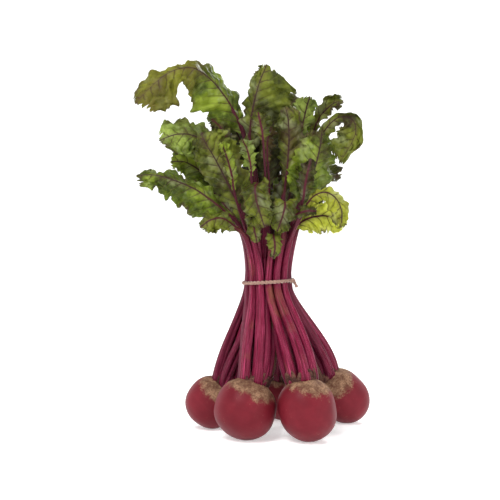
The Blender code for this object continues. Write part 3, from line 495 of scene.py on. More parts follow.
def crown_places(name):
    """The feet of a root's five stalks on its crown, matched to the nearest places in the tie."""
    middle, way = crown_middle(name)
    ties = [tie_place(slot) for slot in SLOTS[name]]
    centre = np.mean(ties, axis=0)
    turns = [math.atan2(*(t - centre)[::-1]) for t in ties]
    order = sorted(range(5), key=lambda k: turns[k])
    start = np.mean([turns[k] - TURN * n / 5 for n, k in enumerate(order)])
    feet = {}
    for n, k in enumerate(order):
        angle = start + TURN * n / 5
        out = root_lean(name) @ Vector((math.cos(angle), math.sin(angle), 0))
        foot = middle + out * CROWN_SPREAD - way * CROWN_REACH
        along, up, outward = FOOT_WAY
        rise = unit(np.array(way * along + Vector((0, 0, up)) + out * outward))
        feet[SLOTS[name][k]] = (np.array(foot), rise)
    return feet


def hermite(a, ta, b, tb, s):
    s = s[:, None]
    h = 2 * s**3 - 3 * s**2 + 1, s**3 - 2 * s**2 + s, -2 * s**3 + 3 * s**2, s**3 - s**2
    return h[0] * a + h[1] * ta + h[2] * b + h[3] * tb


def stalk_path(foot, foot_way, slot, top, top_way):
    """A stalk's middle line, in 32 steps up from its crown to the tie and 32 on to its blade."""
    tie = np.array((*tie_place(slot), TIE_HEIGHT))
    reach = np.linalg.norm(tie - foot)
    upper_pull = np.linalg.norm(top - tie) * UPPER_PULL
    s = np.linspace(0, 1, 33)
    up = np.array((0, 0, 1.0))
    lower = hermite(foot, foot_way * reach * LOWER_PULLS[0], tie, up * reach * LOWER_PULLS[1], s)
    upper = hermite(tie, up * upper_pull, top, top_way * upper_pull, s)
    return np.vstack((lower, upper[1:]))


def stalk_radius(height, foot, top):
    heights = (foot, foot + 40, TIE_HEIGHT, max(top, TIE_HEIGHT + 30))
    return float(np.interp(height, heights, STALK_RADII))


def at_height(path, level):
    """The place (x, y) of a stalk at a height, and the way it runs there."""
    spot = np.array([np.interp(level, path[:, 2], path[:, k]) for k in (0, 1)])
    ahead = np.array([np.interp(level + 3, path[:, 2], path[:, k]) for k in (0, 1)])
    return spot, unit(np.array((*(ahead - spot), 3.0)))


def spread_stalks(paths):
    """Moves the stalks apart, level by level, where they would touch. Both ends stay in place."""
    levels = np.arange(*SPREAD_LEVELS)
    shifts = {name: np.zeros((len(levels), 2)) for name in paths}
    for n, level in enumerate(levels):
        names = [name for name, path in paths.items() if path[0, 2] <= level <= path[-1, 2]]
        here = {name: at_height(paths[name], level) for name in names}
        spots = {name: here[name][0] for name in names}
        radii = {name: stalk_radius(level, paths[name][0, 2], paths[name][-1, 2]) for name in names}
        for _ in range(SPREAD_ROUNDS):
            for i, a in enumerate(names):
                for b in names[i + 1 :]:
                    way = spots[b] - spots[a]
                    run = unit(here[a][1] + here[b][1])
                    between = np.array((*way, 0.0))
                    apart = np.linalg.norm(between - between.dot(run) * run)
                    need = radii[a] + radii[b] + STALK_CLEARANCE
                    if apart < need:
                        push = unit(way) * (need - apart) / 2
                        spots[a] = spots[a] - push
                        spots[b] = spots[b] + push
        for name in names:
            shifts[name][n] = spots[name] - here[name][0]
    moved = {}
    for name, path in paths.items():
        low, high = path[0, 2], path[-1, 2]
        new = path.copy()
        for k in (0, 1):
            smooth = np.convolve(np.pad(shifts[name][:, k], 1, "edge"), (0.2, 0.6, 0.2), "valid")
            to_end = np.minimum(path[:, 2] - low, high - path[:, 2])
            ease = np.clip(to_end / SPREAD_EASE, 0, 1)
            new[:, k] += np.interp(path[:, 2], levels, smooth) * ease
        moved[name] = new
    return moved


def leaf_frames(leaf, count):
    """Places along a leaf's rib, with the ways along it, to its right and up from its face."""
    rib = even_path([place(*p) for p in leaf["rib"]], count)
    along = np.gradient(rib, axis=0)
    first, last = (np.array(v, float) for v in leaf["face"])
    frames = []
    for k in range(count):
        t = k / (count - 1)
        way = unit(along[k])
        face = unit(first * (1 - t) + last * t)
        face = unit(face - face.dot(way) * way)
        frames.append((rib[k], way, np.cross(way, face), face))
    return frames


def half_width(leaf, t, side, grown):
    """Half the blade's width at t of its length, on the left (-1) or right (1)."""
    half = 0 if side < 0 else 1
    peak = leaf["peak"][half]
    outline = max(0.0, math.sin(math.pi * t ** (math.log(0.5) / math.log(peak)))) ** EDGE_ROUNDNESS
    outline *= min(1.0, BASE_SHARE + BASE_FLARE * t)
    if t > peak:
        outline = leaf["tip"] + (1 - leaf["tip"]) * outline
    if leaf["pinch"]:
        at, depth = leaf["pinch"]
        outline *= 1 - depth * math.exp(-(((t - at) / PINCH_LENGTH) ** 2))
    lobes = 1 + LOBE_DEPTH * math.sin(TURN * LOBES * t + 1.7 * side)
    return max(BASE_HALF_WIDTH, leaf["wide"][half] * outline * lobes * grown)


def blade_surface(leaf, frames, columns, grown):
    """The blade's middle surface as rows of points from base to tip, at a share of its full width."""
    rows = []
    for k, (middle, way, right, face) in enumerate(frames):
        t = k / (len(frames) - 1)
        swept = TIP_SWEEP * (max(0.0, t - TIP_START) / (1 - TIP_START)) ** 2
        row = []
        for u in np.linspace(-1, 1, columns):
            side = -1 if u < 0 else 1
            half = 0 if u < 0 else 1
            angle = math.radians(leaf["fold"][half] + leaf["curl"][half] * abs(u) / 2) * min(1, 4 * t)
            widest = half_width(leaf, t, side, grown)
            reach = abs(u) * widest
            ripple = leaf["wave"] * grown * u * u * math.sin(math.pi * t)
            ripple *= math.sin(TURN * RIPPLES * t + 2.1 * side)
            out = right * side * reach * math.cos(angle) + face * (reach * math.sin(angle) + ripple)
            row.append(middle + out - way * widest * swept * u * u)
        rows.append(row)
    return np.array(rows)


def grid_triangles(rows, columns):
    found = []
    for r in range(rows - 1):
        for c in range(columns - 1):
            a = r * columns + c
            b, d, e = a + 1, a + columns, a + columns + 1
            found += [(a, b, e), (a, e, d)] if (r + c) % 2 else [(a, b, d), (b, e, d)]
    return found


def tube_triangles(path, radii, sides=6):
    """A plain tube round a stalk, as points and triangles, for the leaves to keep clear of."""
    points, triangles = [], []
    for (x, y, z), r in zip(path, radii):
        for k in range(sides):
            angle = TURN * k / sides
            points.append((x + r * math.cos(angle), y + r * math.sin(angle), z))
    for n in range(len(path) - 1):
        for k in range(sides):
            a, b = n * sides + k, n * sides + (k + 1) % sides
            triangles += [(a, b, b + sides), (a, b + sides, a + sides)]
    return points, triangles


def ease_shifts(shift):
    """Evens a blade's shifts out over its surface, with its base held."""
    padded = np.pad(shift, ((1, 1), (1, 1), (0, 0)), "edge")
    around = (padded[:-2, 1:-1] + padded[2:, 1:-1] + padded[1:-1, :-2] + padded[1:-1, 2:]) / 4
    eased = shift * 0.6 + around * 0.4
    eased[0] = 0
    eased[1] *= 0.6
    return eased


def joined(meshes):
    """Several lists of points and faces as one."""
    points, faces = [], []
    for its_points, its_faces in meshes:
        faces += [tuple(len(points) + i for i in f) for f in its_faces]
        points += [tuple(p) for p in its_points]
    return points, faces


def push_clear(n, flat, tree, owners, samples):
    """How far each point of blade n moves away from the other blades and stalks near it."""
    push = np.zeros_like(flat)
    weight = np.full(len(flat), 1e-6)
    for who in samples:
        point = flat[list(who)].mean(axis=0)
        best = {}
        for spot, _, face, apart in tree.find_nearest_range(Vector(point), BLADE_CLEARANCE):
            owner = owners[face]
            own_foot = owner == -1 - n and who[0] < 2 * COLUMNS
            if owner != n and not own_foot and apart < best.get(owner, (math.inf,))[0]:
                best[owner] = (apart, spot)
        for owner, (apart, spot) in best.items():
            share = 0.55 if owner >= 0 else 1.0
            away = unit(point - np.array(spot)) * (BLADE_CLEARANCE - apart) * share
            for i in who:
                push[i] += away
                weight[i] += 1
    return (push / np.maximum(weight, 1)[:, None]).reshape(ROWS, COLUMNS, 3)


def settle_blades(stalks, radii):
    """Grows every blade out from its rib in small steps, and pushes it clear of the others and of stalks."""
    frames = {name: leaf_frames(leaf, ROWS) for name, leaf in LEAVES.items()}
    shifts = {name: np.zeros((ROWS, COLUMNS, 3)) for name in LEAVES}
    faces = grid_triangles(ROWS, COLUMNS)
    samples = [(i,) for i in range(COLUMNS, ROWS * COLUMNS)] + faces[2 * (COLUMNS - 1) :]
    tubes = [tube_triangles(stalks[name][::4], radii[name][::4]) for name in LEAVES]
    owners = [n for n in range(len(LEAVES)) for _ in faces]
    owners += [-1 - n for n, (_, its_faces) in enumerate(tubes) for _ in its_faces]
    blades = {}
    for step in range(GROWTH_STEPS + SETTLE_STEPS):
        grown = min(1.0, 0.1 + 0.9 * (step + 1) / GROWTH_STEPS)
        for name, leaf in LEAVES.items():
            blades[name] = blade_surface(leaf, frames[name], COLUMNS, grown) + shifts[name]
        tree = BVHTree.FromPolygons(*joined([(b.reshape(-1, 3), faces) for b in blades.values()] + tubes))
        for n, name in enumerate(LEAVES):
            shifts[name] += push_clear(n, blades[name].reshape(-1, 3), tree, owners, samples)
            if step < GROWTH_STEPS + SETTLE_STEPS - LAST_STEPS:
                shifts[name] = ease_shifts(shifts[name])
            shifts[name][0] = 0
    return blades


def twine_loop(stalks, radii):
    """The twine's line drawn tight round the bundle, a little higher at the right."""
    angles = TURN * np.arange(TWINE_SEGMENTS) / TWINE_SEGMENTS
    ways = np.stack((np.cos(angles), np.sin(angles)), axis=1)
    far = np.zeros(TWINE_SEGMENTS)
    for name, path in stalks.items():
        for height in (TIE_HEIGHT - 4, TIE_HEIGHT, TIE_HEIGHT + 4):
            xy = np.array([np.interp(height, path[:, 2], path[:, i]) for i in (0, 1)])
            far = np.maximum(far, ways @ xy + np.interp(height, path[:, 2], radii[name]))
    far += TWINE_RADIUS + TWINE_GAP
    facing = np.maximum(ways @ ways.T, 0.05)
    reach = (far[None, :] / facing).min(axis=1)
    return [(r * x, r * y, TIE_HEIGHT + TIE_SLOPE * r * x) for r, (x, y) in zip(reach, ways)]


def lay_out_stalks():
    """Every stalk's middle line, from its root's crown to the base of its blade."""
    owner = {leaf["slot"]: name for name, leaf in LEAVES.items()}
    paths = {}
    for root in ROOTS:
        for slot, (foot, foot_way) in crown_places(root).items():
            rib = even_path([place(*p) for p in LEAVES[owner[slot]]["rib"]], 40)
            way = unit(rib[1] - rib[0])
            paths[owner[slot]] = stalk_path(foot, foot_way, slot, rib[0] - way * BASE_GAP, way)
    return spread_stalks(paths)


def dice_for(name):
    """A seeded source of random numbers for one piece, the same in each run."""
    return np.random.default_rng(sum((k + 1) * ord(c) for k, c in enumerate(name)))


def find_shift(blades):
    """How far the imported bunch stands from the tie's axis, from the middles of its leaves' boxes."""
    found = []
    for name, blade in blades.items():
        low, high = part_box("leaf_" + name)
        flat = blade.reshape(-1, 3)
        found.append((np.array(low) + np.array(high)) / 2 / M - (flat.min(axis=0) + flat.max(axis=0)) / 2)
    shift = np.median(found, axis=0)
    shift[2] = 0.0
    return shift


def add_mesh(name, points, faces, materials):
    """A smooth mesh from points in metres."""
    mesh = bpy.data.meshes.new(name)
    mesh.from_pydata(points, [], faces)
    for material in materials:
        mesh.materials.append(material)
    mesh.shade_smooth()
    made = bpy.data.objects.new(name, mesh)
    bpy.context.scene.collection.objects.link(made)
    return made


def add_piece(name, points, faces, slot, materials, node=None, slots=None):
    """A smooth mesh from points in mm, which rides with the bunch and may stand for one of its nodes."""
    made = add_mesh(name, ((np.asarray(points) + SHIFT) * M).tolist(), faces, materials)
    if slots:
        made.data.polygons.foreach_set("material_index", slots)
    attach(made, "root")
    if node:
        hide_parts(node)
    return made


def point_values(made, **layers):
    """Keeps one number a point on a mesh, for its material to read."""
    for name, values in layers.items():
        layer = made.data.attributes.new(name, "FLOAT", "POINT")
        layer.data.foreach_set("value", np.asarray(values, float).ravel())


def normals_of(points):
    """The way that a grid of points faces at each point."""
    normal = np.cross(np.gradient(points, axis=1), np.gradient(points, axis=0))
    return normal / np.maximum(np.linalg.norm(normal, axis=2, keepdims=True), 1e-9)


def shell(upper, lower):
    """The points and faces of a thin closed sheet between two grids, and which faces are its underside."""
    rows, columns = upper.shape[:2]
    count = rows * columns
    faces, under = [], []
    for r in range(rows - 1):
        for c in range(columns - 1):
            a = r * columns + c
            b, d, e = a + 1, a + columns, a + columns + 1
            faces += [(a, b, e, d), (count + a, count + d, count + e, count + b)]
            under += [0, 1]
    rim = list(range(columns))
    rim += [r * columns + columns - 1 for r in range(1, rows)]
    rim += [(rows - 1) * columns + c for c in range(columns - 2, -1, -1)]
    rim += [r * columns for r in range(rows - 2, 0, -1)]
    for a, b in zip(rim, rim[1:] + rim[:1]):
        faces.append((b, a, count + a, count + b))
        under.append(0)
    return np.vstack((upper.reshape(-1, 3), lower.reshape(-1, 3))), faces, under


def ring_faces(rings, sides, closed=False, flip=False):
    """The faces between rings of points. flip turns them the other way."""
    faces = []
    for n in range(rings if closed else rings - 1):
        for k in range(sides):
            a, b = n * sides + k, n * sides + (k + 1) % sides
            c, d = (b + sides) % (rings * sides), (a + sides) % (rings * sides)
            faces.append((a, d, c, b) if flip else (a, b, c, d))
    return faces


def tube(line, size, sides, side=(1.0, 0.2, 0.1), swell=None, closed=False):
    """The points and faces of a tube along a line. swell shapes each ring, as shares of its radius."""
    side = np.array(side)
    turn = np.linspace(0, TURN, sides, endpoint=False)
    points = []
    for n, way in enumerate(np.gradient(line, axis=0)):
        way = unit(way)
        side = unit(side - side.dot(way) * way)
        front = np.cross(way, side)
        r = size[n] * (swell[n] if swell is not None else np.ones(sides))
        points += [line[n] + side * a + front * b for a, b in zip(r * np.cos(turn), r * np.sin(turn))]
    faces = ring_faces(len(line), sides, closed)
    if not closed:
        faces.append(tuple(range(sides - 1, -1, -1)))
        faces.append(tuple((len(line) - 1) * sides + k for k in range(sides)))
    return np.array(points), faces


# Leaves


def margin_keep(name, t, side):
    """How much of its half width the blade keeps along one side: a toothed, wavy and torn margin."""
    dice = dice_for(name + ("left" if side < 0 else "right"))
    keep = np.ones_like(t)
    for waves, depth in MARGIN_WAVES:
        phase = dice.uniform(0, TURN)
        keep -= depth * (1 + np.sin(TURN * waves * t + phase + 1.3 * np.sin(7 * t + phase)))
    for _ in range(MARGIN_TEARS):
        at, depth, width = dice.uniform(0.15, 0.95), dice.uniform(0.06, 0.20), dice.uniform(0.012, 0.03)
        keep -= depth * np.exp(-(((t - at) / width) ** 2))
    return np.clip(keep + 0.06, 0.5, 1.0)


def read_surface(fine, rows, columns):
    """Points of a fine grid at places between its rows and columns, given as shares from 0 to 1."""
    at = np.clip(rows, 0, 1) * (fine.shape[0] - 1.001)
    by = np.clip(columns, 0, 1) * (fine.shape[1] - 1.001)
    r, c = at.astype(int), by.astype(int)
    a, b = (at - r)[..., None], (by - c)[..., None]
    low = fine[r, c] * (1 - b) + fine[r, c + 1] * b
    high = fine[r + 1, c] * (1 - b) + fine[r + 1, c + 1] * b
    return low * (1 - a) + high * a


def leaf_surface(name, blade):
    """A blade's fine middle surface, and how far each point is from the rib and along from the base."""
    fine = cubic(blade, 4 * LEAF_LONG)
    fine = np.swapaxes(cubic(np.swapaxes(fine, 0, 1), 4 * LEAF_WIDE + 1), 0, 1)
    t, u = np.linspace(0, 1, LEAF_LONG), np.linspace(-1, 1, LEAF_WIDE)
    keep = np.where(u < 0, margin_keep(name, t, -1)[:, None], margin_keep(name, t, 1)[:, None])
    across_share = u * (1 - (1 - keep) * np.abs(u))
    tip_keep = 1 - 0.22 * (1 - margin_keep(name, (u + 1) / 2, 0)) * np.clip(np.abs(u) * 4, 0, 1)
    along_share = t[:, None] * (1 - (1 - tip_keep) * t[:, None] ** 3)
    points = read_surface(fine, along_share, (across_share + 1) / 2)
    middle = LEAF_WIDE // 2
    along = run_along(points[:, middle])[:, None] * np.ones((1, LEAF_WIDE))
    spans = np.linalg.norm(np.diff(points, axis=1), axis=2)
    across = np.zeros((LEAF_LONG, LEAF_WIDE))
    across[:, middle + 1 :] = np.cumsum(spans[:, middle:], axis=1)
    across[:, :middle] = -np.cumsum(spans[:, middle - 1 :: -1], axis=1)[:, ::-1]
    return points, across, along


def crumple(name, points, across, along):
    """Swellings between the side veins, a ruffled margin and a slight unevenness. Also gives the veins."""
    dice = dice_for(name + "crumple")
    u = np.abs(np.linspace(-1, 1, LEAF_WIDE))[None, :]
    t = np.linspace(0, 1, LEAF_LONG)[:, None]
    side = np.sign(across)
    phase = (along - VEIN_SLANT * np.abs(across)) / VEIN_SPACING + 0.25 * side
    away = np.abs(phase - np.round(phase)) * VEIN_SPACING
    room = np.clip(np.abs(across) / 8, 0, 1) * np.clip(t * 8, 0, 1) * np.clip((1 - t) * 8, 0, 1)
    line = np.exp(-((away / VEIN_HALF_WIDTH) ** 2)) * room
    lift = -1.0 * np.cos(TURN * phase) * room * (1 - 0.4 * u)
    for length, height in SWELLINGS:
        for _ in range(2):
            heading, start = dice.uniform(0, TURN, 2)
            onward = across * math.cos(heading) + along * math.sin(heading)
            lift += height * np.sin(TURN * onward / length + start) * room
    turn = dice.uniform(0, TURN)
    waves, height = BROAD_RUFFLES
    lift += height * u**1.5 * np.sin(TURN * waves * t + turn + 2.4 * u * side) * np.clip(t * 5, 0, 1)
    for waves, height in RUFFLES:
        turn = dice.uniform(0, TURN)
        lift += height * u**3 * np.sin(TURN * waves * t + turn + side) * np.clip(t * 6, 0, 1)
    return points + normals_of(points) * lift[:, :, None], line


def make_leaf(name, blade, skins, node=None):
    """A thin crumpled blade with a raised midrib, from the part's smoother one."""
    points, across, along = leaf_surface(name, blade)
    points, line = crumple(name, points, across, along)
    normals = normals_of(points)
    t = np.linspace(0, 1, LEAF_LONG)[:, None]
    rib = 0.9 * (1 - t) * np.exp(-((across / (1.5 * (1 - t) + 0.6)) ** 2))
    upper = points + normals * (BLADE_HALF + 0.35 * rib - 0.12 * line)[:, :, None]
    lower = points - normals * (BLADE_HALF + rib + 0.3 * line)[:, :, None]
    solid, faces, under = shell(upper, lower)
    made = add_piece("blade_" + name, solid, faces, "leaf", skins, node, under)
    margin = np.maximum(np.abs(np.linspace(-1, 1, LEAF_WIDE))[None, :], t**3)
    values = {"across": across, "along": along, "margin": margin}
    point_values(made, **{key: np.tile(value.ravel(), 2) for key, value in values.items()})


# Materials


class Skin:
    """A short way to write the nodes of a material."""

    def __init__(self, name):
        self.material = bpy.data.materials.new(name)
        self.material.use_nodes = True
        self.tree = self.material.node_tree
        self.shader = self.tree.nodes["Principled BSDF"]

    def feed(self, socket, value):
        if isinstance(value, bpy.types.NodeSocket):
            self.tree.links.new(value, socket)
        elif isinstance(value, tuple) and socket.type == "RGBA":
            socket.default_value = (*value, 1.0)
        else:
            socket.default_value = value

    def node(self, kind, **values):
        made = self.tree.nodes.new("ShaderNode" + kind)
        for name, value in values.items():
            self.feed(made.inputs[name.replace("_", " ")], value)
        return made

    def math(self, operation, a, b=0.0):
        made = self.node("Math")
        made.operation = operation
        self.feed(made.inputs[0], a)
        self.feed(made.inputs[1], b)
        return made.outputs[0]

    def times(self, a, b):
        return self.math("MULTIPLY", a, b)

    def plus(self, a, b):
        return self.math("ADD", a, b)

    def mix(self, share, a, b):
        made = self.node("Mix")
        made.data_type = "RGBA"
        for k, value in ((0, share), (6, a), (7, b)):
            self.feed(made.inputs[k], value)
        return made.outputs[2]

    def over(self, colour, share, new, strength):
        """A new colour laid over another one, where share is 1 and as far as strength says."""
        return self.mix(self.times(share, strength), colour, new)

    def step(self, value, low, high):
        """0 at low and 1 at high, smooth between."""
        made = self.node("MapRange", Value=value, From_Min=low, From_Max=high)
        made.interpolation_type = "SMOOTHSTEP"
        return made.outputs[0]

    def noise(self, where, scale, detail=3.0, rough=0.5):
        return self.node("TexNoise", Vector=where, Scale=scale, Detail=detail, Roughness=rough).outputs[0]

    def value(self, name):
        made = self.node("Attribute")
        made.attribute_name = name
        return made.outputs["Fac"]

    def position(self):
        return self.node("TexCoord").outputs["Object"]

    def vector(self, x, y, z):
        return self.node("CombineXYZ", X=x, Y=y, Z=z).outputs[0]

    def bump(self, height, strength, distance):
        made = self.node("Bump", Height=height, Strength=strength, Distance=distance)
        self.feed(self.shader.inputs["Normal"], made.outputs[0])

    def set(self, **values):
        for name, value in values.items():
            self.feed(self.shader.inputs[name.replace("_", " ")], value)


def leaf_veins(s, across, along, where):
    """Where a blade's side veins are, and the net between them."""
    off = s.math("ABSOLUTE", across)
    wander = s.math("SUBTRACT", s.noise(where, 60.0, 2.0), 0.5)
    phase = s.times(s.math("SUBTRACT", along, s.times(off, VEIN_SLANT)), 1 / VEIN_SPACING)
    phase = s.plus(s.plus(phase, s.times(s.math("SIGN", across), 0.25)), s.times(wander, 0.35))
    away = s.math("ABSOLUTE", s.math("SUBTRACT", s.math("FRACT", s.plus(phase, 0.5)), 0.5))
    vein = s.times(s.step(s.times(away, VEIN_SPACING), 1.0, 0.15), s.step(off, 36.0, 4.0))
    cells = s.node("TexVoronoi", Vector=where, Scale=210.0)
    cells.feature = "DISTANCE_TO_EDGE"
    return vein, s.times(s.step(cells.outputs["Distance"], 0.12, 0.0), 0.22)


def leaf_blotches(s, look, colour, light, along, patch, where):
    """Painted grey highlights, browned margins, brown tinge with painted shade, and an aged tip on a turning
    leaf, over its greens.
    """
    tints = LEAF_TINTS
    # Painted highlight: pale grey-green patches standing in for glints on the waxy blades.
    painted_highlight = s.step(s.noise(where, 50.0, 3.0, 0.55), 0.52, 0.68)
    colour = s.over(colour, painted_highlight, tuple(0.6 * p + 0.4 * q for p, q in zip(light, tints["painted_highlight"])), 0.45)
    brown = s.times(s.step(s.value("margin"), 0.70, 1.0), s.step(s.noise(where, 48.0, 3.0), 0.50, 0.66))
    colour = s.over(colour, brown, tints["edge"], 0.75)
    if look == "turning":
        aged = s.step(s.plus(along, s.times(patch, 30.0)), 80.0, 106.0)
        colour = s.over(colour, aged, s.mix(patch, tints["aged"], tints["aged_light"]), 0.60)
    # Dark brown patches at random, partly the blades' brown tinge and partly painted shade; fewer on the
    # backlit leaf.
    tinge_and_painted_shade = s.step(s.noise(where, 19.0, 4.0, 0.65), 0.54, 0.68)
    return s.over(colour, tinge_and_painted_shade, tints["tinge_and_painted_shade"], 0.25 if look == "lit" else 0.62)


def leaf_skin(look, under):
    """A leaf's skin: greens in soft patches, pale side veins with a net between them, and a dark red rib."""
    s = Skin("leaf_%s_%s" % (look, "under" if under else "upper"))
    light, middle, dark, below = GREENS[look]
    if under:
        light, middle, dark = (tuple((p + q) / 2 for p, q in zip(below, c)) for c in (light, middle, dark))
    across, along, where, tints = s.value("across"), s.value("along"), s.position(), LEAF_TINTS
    off = s.math("ABSOLUTE", across)
    vein, net = leaf_veins(s, across, along, where)
    patch, fine = s.noise(where, 34.0, 4.0, 0.6), s.noise(where, 260.0, 3.0, 0.6)
    colour = s.mix(s.step(patch, 0.36, 0.60), dark, middle)
    colour = s.mix(s.step(s.plus(patch, s.times(fine, 0.25)), 0.58, 0.80), colour, light)
    colour = s.over(colour, net, middle if under else light, 0.8)
    colour = leaf_blotches(s, look, colour, light, along, patch, where)
    vein_colour = s.mix(s.step(off, 4.0, 24.0), tints["vein"], light)
    colour = s.over(colour, vein, vein_colour, 0.9 if under else 0.7)
    blush = s.step(s.plus(s.times(off, 0.11), s.times(fine, 0.5)), 0.9, 0.2)
    colour = s.over(colour, blush, tints["blush"], 0.35)
    rib_edge = s.math("DIVIDE", off, s.math("SUBTRACT", 1.35, s.times(along, 0.008)))
    rib_colour = s.mix(s.step(along, 0.0, 70.0), tints["rib"], tints["rib_end"])
    colour = s.mix(s.step(rib_edge, 1.1, 0.6), colour, rib_colour)
    sink = s.times(s.plus(vein, net), -0.85 if under else 0.85)
    s.set(Base_Color=colour, Roughness=s.plus(s.times(patch, 0.25), 0.50 if under else 0.34))
    s.set(Specular_IOR_Level=0.2)
    s.bump(s.math("SUBTRACT", s.times(fine, 0.35), sink), 0.8, 0.0008)
    through = s.node("BsdfTranslucent", Color=colour)
    blend = s.node("MixShader", Fac=0.50 if look == "lit" else 0.24)
    s.feed(blend.inputs[1], s.shader.outputs[0])
    s.feed(blend.inputs[2], through.outputs[0])
    s.feed(s.tree.nodes["Material Output"].inputs[0], blend.outputs[0])
    return s.material


def stalk_skin():
    """Magenta streaky stalks with painted highlight lines and painted groove shade, darker towards the
    leaves.
    """
    s, tints = Skin("stalk_skin"), STALK_TINTS
    run, kind = s.value("run"), s.value("kind")
    round_by = [s.times(s.value(name), 3.2) for name in ("turn_cos", "turn_sin")]
    along = s.vector(*round_by, s.plus(s.times(run, 0.0045), s.times(kind, 37.0)))
    streak_and_painted_highlight, fibre = s.noise(along, 2.2, 5.0, 0.62), s.noise(along, 7.5, 3.0, 0.6)
    patch = s.noise(s.position(), 38.0, 3.0, 0.55)
    colour = s.mix(s.step(streak_and_painted_highlight, 0.33, 0.66), tints["deep"], tints["red"])
    # Painted highlight: thin pale pink lines along the stalk.
    colour = s.over(colour, s.step(fibre, 0.53, 0.65), tints["streak_and_painted_highlight"], 0.8)
    # Painted shade: dark lines standing in for shade in the stalk's grooves.
    colour = s.over(colour, s.step(fibre, 0.44, 0.28), tints["painted_groove_shade"], 0.6)
    colour = s.over(colour, s.step(kind, 0.5, 0.1), tints["dull"], 0.5)
    height = s.node("SeparateXYZ", Vector=s.position()).outputs[2]
    upper = s.step(s.plus(height, s.times(patch, 0.03)), 0.185, 0.250)
    colour = s.over(colour, upper, tints["upper"], 0.82)
    warm = s.times(s.step(kind, 0.66, 0.9), s.step(patch, 0.50, 0.70))
    colour = s.over(colour, warm, tints["warm"], 0.5)
    dry = s.mix(s.step(fibre, 0.40, 0.65), tints["dry"], tints["dry_light"])
    colour = s.mix(s.step(kind, 1.0, 1.2), colour, dry)
    s.set(Base_Color=colour, Roughness=s.plus(s.times(patch, 0.2), 0.24), Specular_IOR_Level=0.15)
    s.bump(s.plus(streak_and_painted_highlight, s.times(fibre, 0.6)), 0.5, 0.0006)
    return s.material


def root_skin():
    """Dull red skin with faint rings and scars, and a tan corky crown whose edge is ragged."""
    s, tints = Skin("root_skin"), ROOT_TINTS
    cork, level, where = s.value("cork"), s.value("level"), s.position()
    broad, middling = s.noise(where, 26.0, 3.0), s.noise(where, 120.0, 4.0, 0.6)
    fine = s.noise(where, 620.0, 3.0, 0.6)
    rings = s.noise(s.vector(0.0, s.times(broad, 0.6), s.times(level, 0.55)), 1.6, 4.0, 0.6)
    red = s.mix(s.step(broad, 0.35, 0.65), tints["deep"], tints["red"])
    red = s.over(red, s.step(rings, 0.50, 0.72), tints["ring"], 0.12)
    red = s.over(red, s.step(middling, 0.60, 0.42), tints["dull"], 0.22)
    speck = s.node("TexVoronoi", Vector=where, Scale=260.0)
    speck = s.times(s.step(speck.outputs["Distance"], 0.20, 0.08), s.step(middling, 0.52, 0.62))
    red = s.over(red, speck, tints["speck"], 0.15)
    tan = s.mix(s.step(middling, 0.36, 0.66), tints["cork"], tints["cork_light"])
    tan = s.over(tan, s.step(fine, 0.56, 0.40), tints["pit"], 0.55)
    loop = s.node("TexVoronoi", Vector=where, Scale=230.0).outputs["Distance"]
    loop = s.step(s.math("ABSOLUTE", s.math("SUBTRACT", loop, 0.42)), 0.07, 0.01)
    tan = s.over(tan, loop, tints["loop"], 0.55)
    speckle = s.plus(s.times(middling, 1.3), s.times(fine, 0.8))
    share = s.step(s.plus(cork, s.math("SUBTRACT", speckle, 1.05)), 0.22, 0.92)
    s.set(Base_Color=s.mix(share, red, tan), Specular_IOR_Level=0.14)
    s.set(Roughness=s.plus(s.plus(s.times(share, 0.34), s.times(broad, 0.15)), 0.38))
    rough = s.times(fine, s.plus(s.times(share, 0.9), 0.05))
    rough = s.plus(s.plus(rough, s.times(middling, s.plus(share, 0.12))), s.times(rings, 0.08))
    s.bump(s.math("SUBTRACT", rough, s.times(s.times(loop, share), 0.8)), 0.55, 0.0008)
    return s.material


def scale_skin():
    """Dry dark brown leaf bases."""
    s, (dark, brown, light) = Skin("scale_skin"), SCALE_TINTS
    patch, fine = s.noise(s.position(), 160.0, 4.0, 0.6), s.noise(s.position(), 900.0, 2.0)
    colour = s.mix(s.step(patch, 0.38, 0.62), dark, brown)
    colour = s.over(colour, s.step(fine, 0.5, 0.7), light, 0.4)
    s.set(Base_Color=colour, Roughness=s.plus(s.times(patch, 0.2), 0.72), Specular_IOR_Level=0.1)
    s.bump(s.plus(fine, patch), 0.6, 0.0006)
    return s.material


def twine_skin():
    """Pinkish tan fibres along each ply."""
    s, (dark, tan, light) = Skin("twine_skin"), TWINE_TINTS
    round_by = [s.times(s.value(name), 2.4) for name in ("turn_cos", "turn_sin")]
    along = s.vector(*round_by, s.times(s.value("run"), 0.09))
    fibre, fine = s.noise(along, 3.2, 4.0, 0.65), s.noise(s.position(), 1500.0, 2.0)
    colour = s.mix(s.step(fibre, 0.35, 0.66), dark, tan)
    colour = s.over(colour, s.step(fine, 0.5, 0.7), light, 0.4)
    s.set(Base_Color=colour, Roughness=0.92, Specular_IOR_Level=0.25)
    s.set(Sheen_Weight=0.3, Sheen_Roughness=0.5)
    s.bump(s.plus(fibre, s.times(fine, 0.4)), 0.8, 0.0005)
    return s.material


# Stalks


def stalk_values(made, run, sides, kind):
    """Keeps each point's way along its stalk and round it, and the stalk's kind, for the stalks' skin."""
    turn = np.linspace(0, TURN, sides, endpoint=False)
    point_values(made, run=np.repeat(run, sides), kind=np.full(len(run) * sides, kind))
    point_values(made, turn_cos=np.tile(np.cos(turn), len(run)), turn_sin=np.tile(np.sin(turn), len(run)))


